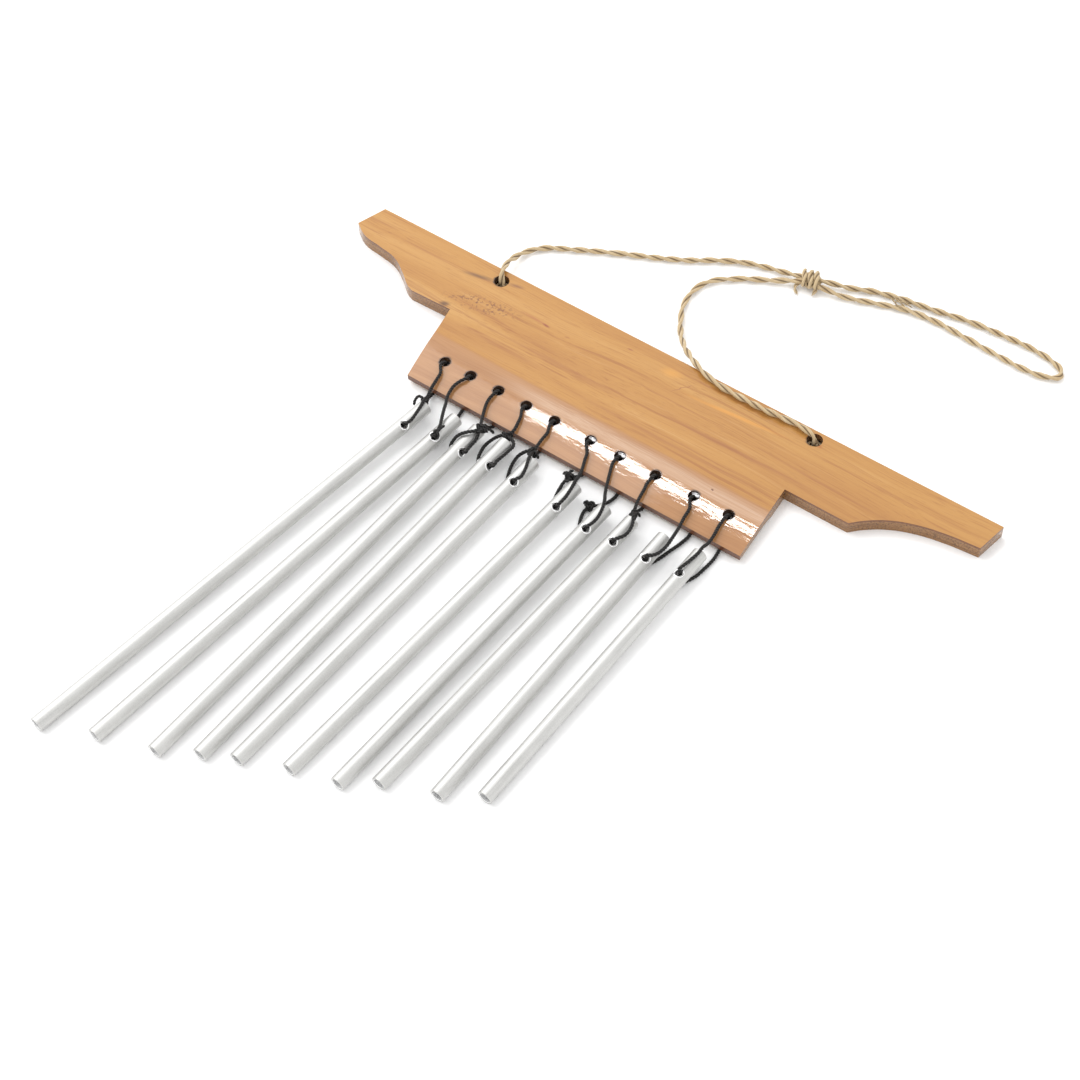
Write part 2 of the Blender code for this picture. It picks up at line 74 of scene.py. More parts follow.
# The board, as in the CAD model. Its outline is in millimetres, with each corner sharp or not
BOARD_LOW, BOARD_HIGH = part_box("bamboo_board")
BOARD_THICK = 6.5 * MM
LIP_CREST_Y, LIP_EDGE_Y = 0.106, BOARD_LOW.y
LIP_DROP = 1.6 * MM
RELIEF_HEIGHT, RELIEF_START_Y, RELIEF_FULL_Y = 2.0 * MM, 0.1, 0.094
LIP_HOLE_Y, LIP_HOLE_R = 0.087, 2.4 * MM
TWINE_HOLES = {"left": (-0.0844, 0.1372), "right": (0.0731, 0.1384)}
TWINE_HOLE_R, COUNTERBORE_R, COUNTERBORE_DEPTH = 3.3 * MM, 4.1 * MM, 3.4 * MM
EDGE_ROUND, DRILL_LENGTH = 0.4 * MM, 30 * MM
SPLIT_AT, SPLIT_R, SPLIT_LENGTH = (BOARD_HIGH.x + 0.2 * MM, 0.1352, 3.4 * MM), 0.9 * MM, 12.5 * MM
OUTLINE = (
    (-152.9, 143, True), (-157.7, 129.4, True), (-151, 125.3, False), (-141, 123.6, False),
    (-131.5, 121.8, False), (-123.4, 117, False), (-117, 112.2, False), (-113.8, 110.9, True),
    (-93.4, 111.5, True), (-91.9, 103, False), (-89.7, 88, False), (-87.2, 73, True), (78.3, 73, True),
    (76.2, 110, True), (105.8, 109.9, True), (110.6, 114.6, False), (118.6, 120.2, False),
    (128, 124.2, False), (140, 127, False), (155, 128.7, True), (157.7, 143, True),
)

# One row for each chime: the lip hole's x, the tube's cross hole x and y, its lean from the Y axis
# and the roll of its cross hole in degrees
CHIMES = (
    (-0.0778, -0.0721, 0.04935, 8.4, 36), (-0.0643, -0.0572, 0.0511, 6.7, 20),
    (-0.0498, -0.0454, 0.0518, 3.3, 66), (-0.0355, -0.0318, 0.0524, 2.95, 64),
    (-0.0212, -0.0170, 0.0506, 3.8, 24), (-0.0031, 0.0042, 0.0502, 4.9, 28),
    (0.0115, 0.0205, 0.0479, 4.2, 22), (0.0289, 0.0328, 0.0487, 4.25, 26),
    (0.0475, 0.0484, 0.0492, 2.2, 16), (0.0641, 0.0644, 0.0506, 2.8, -8),
)
TUBE_R, TUBE_WALL = 3.175 * MM, 0.8 * MM
TUBE_LONGEST, TUBE_STEP = 0.208, 0.008
TUBE_HOLE_R, TUBE_HOLE_FROM_TOP = 1.6 * MM, 0.014
TUBE_PIVOT_Z, TUBE_FOOT_Z = 5.4 * MM, 3.2 * MM
BURR_R, BURR_THICK = 1.94 * MM, 0.32 * MM

# The cords' routes in millimetres, as in the CAD model: over the lip, under it, and below a knot
# that ties both runs. A point without a height lies flat on the floor
LYING_CORD, LYING_TWINE = 1.0, 1.75
CORD_OVER = (
    ((-75.2, 80.5, 7), (-74.5, 77.5, 6.9), (-73.5, 71.9, 6.7), (-72.7, 68.6, 6.2)),
    ((-65.5, 81.6, 7), (-66.3, 78, 6.9), (-65.9, 74.6, 6.8), (-65, 71.5, 6.8), (-63.1, 68, 7.5),
     (-60.2, 62.5, 9.3), (-57.8, 58.1, 10.2), (-56.2, 54.9, 10.6)),
    ((-49.9, 81, 7), (-49.6, 78.8, 6.9), (-48.5, 75.6, 6.8), (-47, 72.3, 6.9), (-44.9, 68.6, 8.6)),
    ((-33.5, 80.3, 6.95), (-32.5, 76.7, 6.85), (-31.8, 73.4, 6.7), (-31.9, 71.4, 6.5)),
    ((-19.4, 79.4, 6.95), (-19.4, 76.1, 6.85), (-19.2, 73, 6.7), (-19.1, 71, 6.5)),
    ((-0.1, 80.3, 6.95), (1.4, 76.4, 6.85), (2.8, 72.9, 6.8), (4, 69.4, 7.3), (4.9, 66.2, 9),
     (5.7, 63.2, 10), (6.5, 59, 10.1), (6.9, 54.7, 10), (6.7, 52.2, 9.8)),
    ((11.6, 81.8, 7), (12.9, 78.3, 6.9), (14.8, 73.8, 6.85), (16.6, 69.6, 7), (18.8, 65.6, 8.2),
     (20.9, 62.2, 9.9), (22.5, 58, 10.1), (23.3, 53.7, 10), (23, 50.4, 9.9)),
    ((28.9, 80.8, 6.95), (29.5, 78.4, 6.9), (30.2, 74, 6.8), (31, 70.2, 6.6)),
    ((49.8, 80.4, 6.95), (50.6, 74.9, 6.85), (51.6, 70.2, 7.2), (52.9, 64, 9.2), (53.5, 57.4, 9.8),
     (52.8, 53, 10), (51.2, 50.6, 10)),
    ((64.3, 79.7, 6.95), (65.2, 73.6, 6.85), (65.4, 69.4, 7.3), (65.6, 65.4, 9.65), (65.7, 61.8, 10),
     (65, 57, 10.1), (64.3, 53.4, 10.2)),
)
CORD_UNDER = (
    ((-75.6, 79), (-74.4, 74.5), (-73.9, 70.6, 1.9)),
    ((-61, 79), (-58.8, 73.7), (-58.2, 69.9), (-57.7, 62), (-58.3, 55)),
    ((-45.6, 79), (-42.8, 74.6), (-43.4, 71.6, 1.6), (-43.3, 69.4, 4.6), (-42.9, 67.4, 7.8)),
    ((-34.6, 78.6, 0.9), (-34.8, 75.4, 0.95), (-34.3, 72.2, 1.1), (-33.6, 70.8, 2.8)),
    ((-20.6, 78.6, 0.9), (-19.4, 75, 0.95), (-19.5, 72, 1.1), (-19.4, 70.5, 2.6)),
    ((-0.6, 79), (2.4, 74.4), (1.4, 71.7, 1.3), (-0.8, 68.2, 3), (-1.7, 65.2, 1.4), (-1.4, 62.2),
     (-0.7, 59), (0.6, 55)),
    ((16.4, 79.5), (19.6, 73.4), (19, 68.4, 1.1), (17, 64.2, 1.6), (14.2, 61.4, 2.3), (13.4, 58.6, 1.2),
     (13.8, 56.2), (15.4, 52.4)),
    ((31, 79), (31.9, 73.4), (31.6, 70.4, 2)),
    ((52, 79.5), (54.9, 73), (54.2, 67.3), (52.8, 62.1), (51.4, 56.9), (49.8, 53)),
    ((67.2, 79), (68.8, 72.6), (69.2, 67.4), (68.7, 62.4), (67.8, 57.2), (66.3, 53.6)),
)
LOOP_UPPER = {
    1: ((-71.2, 64.8, 8.6), (-70.4, 63, 9.95), (-69.5, 59.6, 10.1), (-68.8, 54.9, 9.9),
        (-68.6, 51.6, 9.6)),
    3: ((-41.5, 61.4, 9), (-41.1, 59.1, 8.2), (-41.2, 56.3, 7.9), (-41.2, 53.9, 7.7)),
    4: ((-28.8, 68.3, 6.4), (-27, 65.8, 6.9), (-26.9, 62, 7.6), (-27, 58.5, 8.1), (-27.5, 55.2, 8.1)),
    5: ((-18, 66.1, 8.4), (-17.2, 64.1, 9.8), (-16.3, 61.6, 10), (-15.2, 58.8, 9.9), (-14.3, 55.8, 9.8),
        (-14, 53, 9.8)),
    8: ((33.2, 64.6, 8.3), (34.4, 62.7, 9.9), (36, 60.2, 9.7), (37.1, 56.6, 9.8), (37, 52.8, 9.8)),
}
LOOP_LOWER = {
    1: ((-72.5, 66.7, 2.3), (-72.4, 64.6), (-72.4, 59), (-73.9, 52.8)),
    3: ((-43.2, 61.5, 10.2), (-45.3, 59.5, 10.1), (-47.5, 57.9, 9.1), (-49, 56.6, 7.5),
        (-49.8, 55.4, 5.9), (-50, 53.8, 4.5)),
    4: ((-34.8, 68.9, 5.5), (-36.5, 66.9, 5), (-37.6, 64.1, 4.6), (-38.1, 61.2, 4.3),
        (-37.8, 58.3, 4.1), (-37, 55.4, 3.9)),
    5: ((-21.4, 69, 4.7), (-23.2, 67.8, 3.6), (-24.4, 65.9, 2.6), (-24.6, 63.4, 2), (-24.2, 60.4, 1.5),
        (-23.2, 57.2, 1.1), (-21.2, 53.4)),
    8: ((32.7, 66.2, 2.6), (32.7, 64.4), (32.4, 60.6), (32, 57), (31.6, 52.6)),
}
LOOP_KNOTS = {
    1: (-72.5, 65.7, 5), 3: (-41.9, 63.8, 10.1), 4: (-32.3, 69.3, 6), 5: (-18.9, 68.3, 6),
    8: (32.3, 66, 5.5),
}
TWINE_LEFT = (
    (-84.4, 137.2, 3.9), (-84.5, 137.3, 5.4), (-85.4, 138.6, 7.8), (-86.6, 141.4, 8.6),
    (-88.2, 146.2, 7.2), (-89.3, 152.4, 4.4), (-88.9, 158.8, 2.2), (-85.6, 164.4), (-80.4, 168.8),
    (-73, 172.8), (-61.5, 179), (-49.5, 184.9), (-37.3, 190.6), (-25.7, 196.9), (-15, 204),
    (-5.1, 209.1), (3.6, 212), (11.6, 213.6, 2.1), (18.6, 214.6, 3), (21.6, 215, 3.6), (25, 215.6, 3.8),
)
TWINE_LOOP = (
    (26.2, 216.2, 3.8), (31.6, 218.6, 3), (40.8, 221.9, 2), (50.5, 226.2), (61.5, 229), (77.3, 231.5),
    (92.8, 234.2), (107, 235.2), (121, 235.6), (131.6, 234.3), (137.4, 231.8), (138.7, 228.4),
    (134.4, 225.2), (125, 223.7), (110, 224.2), (95.4, 225.2), (80, 226), (66.4, 224.6), (53, 220.2),
    (41, 216, 2), (32.2, 214.4, 3), (26.2, 213.8, 3.6),
)
TWINE_RIGHT = (
    (73.2, 138.5, 3.7), (73, 138.5, 5.6), (72, 138.7, 7.8), (69.3, 139.2, 8.6), (64.4, 140, 8.3),
    (57, 139.8, 8.25), (48, 139.1, 8.25), (38.8, 139.1, 8.25), (28.8, 139.4, 8.25), (21.4, 140.5, 8.3),
    (14.2, 142.7, 8.4), (7.4, 146.2, 7.9), (0.6, 151.8, 5.2), (-5.8, 159, 2.6), (-10.5, 166.3),
    (-13.7, 173.3), (-14.8, 180), (-14, 186.8), (-10.8, 192.6), (-5, 197.6), (1.8, 202.3),
    (9.6, 206.4, 1.9), (17.6, 210.6, 2.7), (21.4, 212.2, 3.4), (25, 213.6, 3.6),
)
TWINE_KNOT_AT = (25.2, 215.2, 3.7)
TWINE_TAIL = ((22.5, 213, 2.2), (20.8, 211.2, 2.2), (20.5, 209.6, 1.8), (21.6, 208, 1.2), (23.2, 207, 1))
TWINE_STUB = ((28.5, 214, 3), (29.2, 211.6, 2.2), (29, 209.4, 1.2))
TWINE_TUFT = (
    ((59, 227.2, 3), (63, 225.8, 3.2), (67.2, 225.2, 2.4)),
    ((58.6, 226.2, 2.8), (63.4, 224, 2.6), (68, 223.8, 1.8)),
    ((60, 228.4, 2.6), (64.6, 226.6, 3.4), (69, 226.6, 2.6)),
    ((61, 225, 3), (64, 226.2, 3.6), (66.2, 228.2, 3)),
)
WRAP_HEADING, WRAP_TURNS = 17.0, 2.7
WRAP_LENGTH, WRAP_WIDTH, WRAP_HEIGHT = 7.2 * MM, 3.5 * MM, 2.3 * MM
STOPPER_END = ((0, 0, 1.9), (1.3, -0.7, 3.8), (2.0, -1.2, 6.0))

# Each cord makes a half turn in its lip hole, and runs a little aside in its tube's cross hole
TURN_Y, TURN_Z, TURN_R = 0.08415, 4.0 * MM, 3.15 * MM
BORE_ASIDE = 0.5 * MM

# The other knots: over the cross hole, on a point of the run under the lip, or inside the tube.
# Then all the knots' sizes, the way they face, and their cut ends
HOLE_KNOT_HEIGHT = {2: 5.4 * MM}
UNDER_KNOTS = {6: 3, 7: 4}
BORE_KNOTS = (9, 10)
KNOT_SCALE = {1: 0.42, 2: 0.5, 3: 0.72, 4: 0.62, 5: 0.62, 6: 0.66, 7: 0.6, 8: 0.45, 9: 0.24, 10: 0.24}
KNOT_FACING = {1: (0.3, -0.2, 1), 3: (0.1, 0.0, 1), 6: (0.2, -0.4, 1)}
KNOT_TAILS = {
    1: (((-73.8, 65.7, 6.4), (-75.2, 65, 7), (-75.5, 63, 6.2), (-74.8, 61.2, 5.2)),
        ((-72.2, 64, 6.2), (-71.6, 62.2, 6.6))),
    2: (((-54.8, 54, 11.8), (-54, 55.6, 12.2)),),
    3: (((-40.5, 65.2, 10), (-38.8, 66.4, 8.6), (-37.8, 67.2, 6.2)), ((-40, 64, 10.8), (-38.4, 64, 9.8))),
    4: (((-34.5, 70, 6.2), (-35.8, 70.2, 5)),),
    5: (((-17.2, 68.4, 5.8), (-15.8, 68, 4.4)), ((-20.5, 69, 6), (-21.4, 69.6, 5))),
    6: (((-2.6, 69, 4), (-3.8, 68, 3)), ((-1.2, 70, 4.6), (-0.6, 71.2, 4))),
    7: (((12.4, 62.2, 3), (11.2, 61, 2.2)),),
    8: (((33.8, 67.2, 5.6), (35, 66.8, 4.6)),),
}

CORD_D, TWINE_D = 1.6 * MM, 2.7 * MM
FLOOR_GAP = 0.05 * MM
PLY_FROM_MIDDLE = {2: 0.455, 3: 0.45}

# Skins of dried lacquer in the lip holes, and how they are cut down from a ball of radius 1
LACQUERED = (6, 7, 9)
LACQUER_SIZE, LACQUER_FROM_HOLE = Vector((1.9, 1.05, 0.55)) * MM, Vector((0.1, 1.3, -0.7)) * MM


# Meshes and objects


def add_object(name, data, material=None):
    made = bpy.data.objects.new(name, data)
    bpy.context.scene.collection.objects.link(made)
    if material:
        data.materials.append(material)
    return made


def final_mesh(source):
    """A new mesh of what an object gives once its curves and modifiers are worked out."""
    bpy.context.view_layer.update()
    return bpy.data.meshes.new_from_object(source.evaluated_get(bpy.context.evaluated_depsgraph_get()))


def mesh_of(shape, name):
    mesh = bpy.data.meshes.new(name)
    shape.to_mesh(mesh)
    shape.free()
    return mesh


def bake_modifiers(target):
    made = final_mesh(target)
    target.modifiers.clear()
    old, target.data = target.data, made
    bpy.data.meshes.remove(old)


def cut(target, mesh, matrix=None, operation="DIFFERENCE"):
    cutter = add_object("cutter", mesh)
    cutter.matrix_world = matrix or Matrix()
    boolean = target.modifiers.new("cut", "BOOLEAN")
    boolean.operation, boolean.object, boolean.solver = operation, cutter, "EXACT"
    bake_modifiers(target)
    bpy.data.objects.remove(cutter, do_unlink=True)


def rod_mesh(radius, length, sides):
    shape = bmesh.new()
    bmesh.ops.create_cone(
        shape, cap_ends=True, segments=sides, radius1=radius, radius2=radius, depth=length,
    )
    return mesh_of(shape, "rod")


def outline_mesh(points, half_height, matrix, resolution=8):
    """A filled, extruded outline as a closed mesh. Sharp corners have straight handles."""
    curve = bpy.data.curves.new("outline", "CURVE")
    curve.dimensions, curve.fill_mode = "2D", "BOTH"
    curve.extrude, curve.resolution_u = half_height, resolution
    spline = curve.splines.new("BEZIER")
    spline.bezier_points.add(len(points) - 1)
    spline.use_cyclic_u = True
    for place, (x, y, sharp) in zip(spline.bezier_points, points):
        place.co = (x, y, 0.0)
        place.handle_left_type = place.handle_right_type = "VECTOR" if sharp else "AUTO"
    holder = add_object("outline", curve)
    mesh = final_mesh(holder)
    bpy.data.objects.remove(holder, do_unlink=True)
    mesh.transform(matrix)
    shape = bmesh.new()
    shape.from_mesh(mesh)
    bmesh.ops.remove_doubles(shape, verts=shape.verts, dist=WELD)
    bmesh.ops.recalc_face_normals(shape, faces=shape.faces)
    return mesh_of(shape, "outline")


# Ropes


def in_metres(route, lying=LYING_CORD):
    """The route's points. A point without a height lies flat, with its middle that far up."""
    return [Vector((*place, lying)[:3]) * MM for place in route]


def smooth_through(places):
    """Fine samples of a smooth curve through every point, with even handling of unequal gaps."""
    places = [2 * places[0] - places[1]] + places + [2 * places[-1] - places[-2]]
    samples = []
    for p0, p1, p2, p3 in zip(places, places[1:], places[2:], places[3:]):
        gaps = [(b - a).length ** 0.5 for a, b in ((p0, p1), (p1, p2), (p2, p3))]
        leave = (p2 - p1) + gaps[1] * ((p1 - p0) / gaps[0] - (p2 - p0) / (gaps[0] + gaps[1]))
        arrive = (p2 - p1) + gaps[1] * ((p3 - p2) / gaps[2] - (p3 - p1) / (gaps[1] + gaps[2]))
        for step in range(24):
            t = step / 24
            samples.append(
                (2 * t**3 - 3 * t**2 + 1) * p1 + (t**3 - 2 * t**2 + t) * leave
                + (3 * t**2 - 2 * t**3) * p2 + (t**3 - t**2) * arrive
            )
    return samples + [places[-2]]


def evenly(samples, step):
    """The same line with points a fixed step apart, as an array."""
    line = np.array(samples, float)
    run = np.concatenate([[0], np.cumsum(np.linalg.norm(np.diff(line, axis=0), axis=1))])
    at = np.linspace(0, run[-1], max(3, int(run[-1] / step) + 1))
    return np.stack([np.interp(at, run, line[:, axis]) for axis in range(3)], 1)


def across(points):
    """Tangents, and two crosswise directions that don't spin along the line."""
    tangents = np.gradient(points, axis=0)
    tangents /= np.linalg.norm(tangents, axis=1)[:, None]
    normal = np.cross(tangents[0], (0.31, 0.17, 0.94))
    normals = []
    for tangent in tangents:
        normal = normal - tangent * (normal @ tangent)
        normal /= np.linalg.norm(normal)
        normals.append(normal)
    normals = np.array(normals)
    return tangents, normals, np.cross(tangents, normals)


class Rope:
    """How one kind of cord is laid: its plies, their twist, and how uneven and hairy it is."""

    def __init__(self, diameter, plies, pitch, step, sides, uneven, rough, hairs_per_metre, hair_reach):
        self.radius, self.plies, self.pitch = diameter / 2, plies, pitch
        self.step, self.sides = step, sides
        self.uneven, self.rough = uneven, rough
        self.hairs_per_metre, self.hair_reach = hairs_per_metre, hair_reach

    def section(self):
        """Angles round the rope, and the plies' outline there as a share of the rope's radius."""
        angles = np.linspace(0, 2 * math.pi, self.sides, endpoint=False)
        off = PLY_FROM_MIDDLE[self.plies]
        ply = 1 - off
        sector = 2 * math.pi / self.plies
        near = (angles + sector / 2) % sector - sector / 2
        return angles, off * np.cos(near) + np.sqrt(ply**2 - (off * np.sin(near)) ** 2)


CORD = Rope(CORD_D, 3, 4.2 * MM, 0.28 * MM, 18, 0.06, 0.05, 260, 0.7 * MM)
TWINE = Rope(TWINE_D, 2, 17.0 * MM, 0.40 * MM, 24, 0.11, 0.10, 330, 1.4 * MM)
KNOT = Rope(1.35 * MM, 3, 3.8 * MM, 0.25 * MM, 14, 0.08, 0.06, 500, 0.6 * MM)
TWINE_TIGHT = Rope(2.7 * MM, 2, 12.0 * MM, 0.40 * MM, 20, 0.12, 0.12, 500, 1.3 * MM)
TWINE_THIN = Rope(1.7 * MM, 2, 7.0 * MM, 0.35 * MM, 16, 0.14, 0.12, 900, 1.2 * MM)
TWINE_FLAT = Rope(2.2 * MM, 2, 9.0 * MM, 0.45 * MM, 16, 0.10, 0.10, 200, 0.8 * MM)
TWINE_FRAY = Rope(0.7 * MM, 2, 5.0 * MM, 0.35 * MM, 8, 0.20, 0.10, 1200, 0.8 * MM)


def slow_wave(run, length, seed):
    return np.array([noise.noise(Vector((r / length, seed * 7.3, 1.7))) for r in run])


def rope_object(name, samples, rope, material, seed=0, tapers=(0.0, 0.0)):
    """A twisted rope along a route, as one object: its plies, and short fibres that stand off it."""
    points = evenly(samples, rope.step)
    tangents, normals, binormals = across(points)
    count = len(points)
    run = np.arange(count) * rope.step
    pitch = rope.pitch * (1 + 0.28 * slow_wave(run, 0.022, seed + 31))
    twist = np.cumsum(2 * math.pi * rope.step / pitch) + seed
    thick = rope.radius * (1 + rope.uneven * slow_wave(run, 0.009, seed))
    for length, place in zip(tapers, (run, run[::-1])):
        if length:
            thick = thick * np.clip(place / length, 0.12, 1) ** 0.5
    angles, share = rope.section()
    verts, uvs, creases = [], [], []
    low, high = share.min(), share.max()
    for i in range(count):
        for k in range(rope.sides):
            grain = noise.noise(
                Vector((3.1 * math.cos(angles[k]), 3.1 * math.sin(angles[k]), run[i] / (2.2 * MM) + seed))
            )
            reach = thick[i] * share[k] * (1 + rope.rough * grain)
            turn = angles[k] + twist[i]
            verts.append(points[i] + reach * (math.cos(turn) * normals[i] + math.sin(turn) * binormals[i]))
            uvs.append((k / rope.sides, run[i]))
            creases.append((high - share[k]) / (high - low))
    faces = [
        (i * rope.sides + k, i * rope.sides + (k + 1) % rope.sides,
         (i + 1) * rope.sides + (k + 1) % rope.sides, (i + 1) * rope.sides + k)
        for i in range(count - 1)
        for k in range(rope.sides)
    ]
    for ring, turn_over in ((0, True), (count - 1, False)):
        corners = [ring * rope.sides + k for k in range(rope.sides)]
        middle = len(verts)
        verts.append(points[ring] + tangents[ring] * (-0.3 if turn_over else 0.3) * thick[ring])
        uvs.append((0.5, run[ring]))
        creases.append(0.3)
        for a, b in zip(corners, corners[1:] + corners[:1]):
            faces.append((b, a, middle) if turn_over else (a, b, middle))
    add_hairs(verts, faces, uvs, creases, points, tangents, normals, binormals, thick, rope, name)
    verts = [(v[0], v[1], max(v[2], FLOOR_GAP)) for v in verts]
    mesh = bpy.data.meshes.new(name)
    mesh.from_pydata(verts, [], faces)
    layer = mesh.uv_layers.new(name="along")
    picked = np.empty(len(mesh.loops), np.int32)
    mesh.loops.foreach_get("vertex_index", picked)
    layer.data.foreach_set("uv", np.array(uvs, np.float32)[picked].ravel())
    # crease: how deep each point lies between the plies; the materials paint shade by it
    crease = mesh.attributes.new("crease", "FLOAT", "POINT")
    crease.data.foreach_set("value", np.array(creases, np.float32))
    mesh.shade_smooth()
    return add_object(name, mesh, material), points


def add_hairs(verts, faces, uvs, creases, points, tangents, normals, binormals, thick, rope, name):
    """Loose fibres: thin three-sided slivers that leave the rope's surface and end in a point."""
    draw = random.Random(name)
    length = len(points) * rope.step
    for _ in range(int(rope.hairs_per_metre * length)):
        start = draw.randrange(3, max(4, len(points) - 3))
        turn = draw.uniform(0, 2 * math.pi)
        out = math.cos(turn) * normals[start] + math.sin(turn) * binormals[start]
        side = np.cross(tangents[start], out)
        reach = draw.uniform(0.2, 1.0) * rope.hair_reach
        long = draw.uniform(1.2, 3.4) * rope.hair_reach
        lean = draw.uniform(-0.5, 0.5)
        way = 1 if draw.random() < 0.6 else -1
        half = draw.uniform(0.022, 0.05) * MM * (1.5 if rope.plies == 2 else 1)
        ring_starts = []
        for t in (0.0, 0.35, 0.7):
            middle = (
                points[start] + out * (0.8 * thick[start] + reach * t**1.6)
                + tangents[start] * way * long * t + side * lean * long * t
            )
            ring_starts.append(len(verts))
            for corner in range(3):
                spin = 2 * math.pi * corner / 3
                verts.append(middle + half * (1 - 0.6 * t) * (math.cos(spin) * out + math.sin(spin) * side))
                uvs.append((0.5 * t, start * rope.step))
                creases.append(0.1)
        tip = len(verts)
        along = tangents[start] * way + side * lean
        verts.append(points[start] + out * (0.8 * thick[start] + reach) + along * long)
        uvs.append((0.5, start * rope.step))
        creases.append(0.1)
        for first, second in zip(ring_starts, ring_starts[1:]):
            for corner in range(3):
                after = (corner + 1) % 3
                quad = (first + corner, first + after, second + after, second + corner)
                faces.append(quad if way > 0 else quad[::-1])
        last, base = ring_starts[-1], ring_starts[0]
        for corner in range(3):
            after = (corner + 1) % 3
            edge = (last + corner, last + after)
            faces.append((*edge, tip) if way > 0 else (*edge[::-1], tip))
        faces.append((base + 2, base + 1, base) if way > 0 else (base, base + 1, base + 2))


def trefoil(centre, facing, scale, spin=0.0, flat=1.0):
    """The route of an overhand knot pulled tight, seen along its facing direction."""
    turn = Vector((0, 0, 1)).rotation_difference(Vector(facing)).to_matrix()
    turn = turn @ Matrix.Rotation(math.radians(spin), 3, "Z")
    places = []
    for step in range(61):
        t = 2 * math.pi * (0.02 + 0.96 * step / 60)
        x, y = math.sin(t) + 2 * math.sin(2 * t), math.cos(t) - 2 * math.cos(2 * t)
        places.append(Vector(centre) + turn @ Vector((x, y, -1.3 * flat * math.sin(3 * t))) * scale)
    return places


def join(name, parts):
    """Several meshes as one object."""
    bpy.ops.object.select_all(action="DESELECT")
    for part in parts:
        part.select_set(True)
    bpy.context.view_layer.objects.active = parts[0]
    if len(parts) > 1:
        bpy.ops.object.join()
    parts[0].name = parts[0].data.name = name
    return parts[0]


# Camera


def add_camera():
    camera = add_object("camera", bpy.data.cameras.new("camera"))
    camera.data.lens, camera.data.sensor_width = LENS, 36.0
    camera.data.clip_start, camera.data.clip_end = 0.01, 50.0
    a, e = math.radians(CAMERA_AZIMUTH), math.radians(CAMERA_ELEVATION)
    back = Vector((math.sin(a) * math.cos(e), -math.cos(a) * math.cos(e), math.sin(e)))
    roll = Matrix.Rotation(math.radians(CAMERA_ROLL), 4, "Z")
    gaze = (-back).to_track_quat("-Z", "Y").to_matrix().to_4x4()
    camera.matrix_world = Matrix.Translation(CAMERA_AT) @ gaze @ roll
    bpy.context.scene.camera = camera
    bpy.context.scene.view_settings.view_transform = "Standard"


# Materials


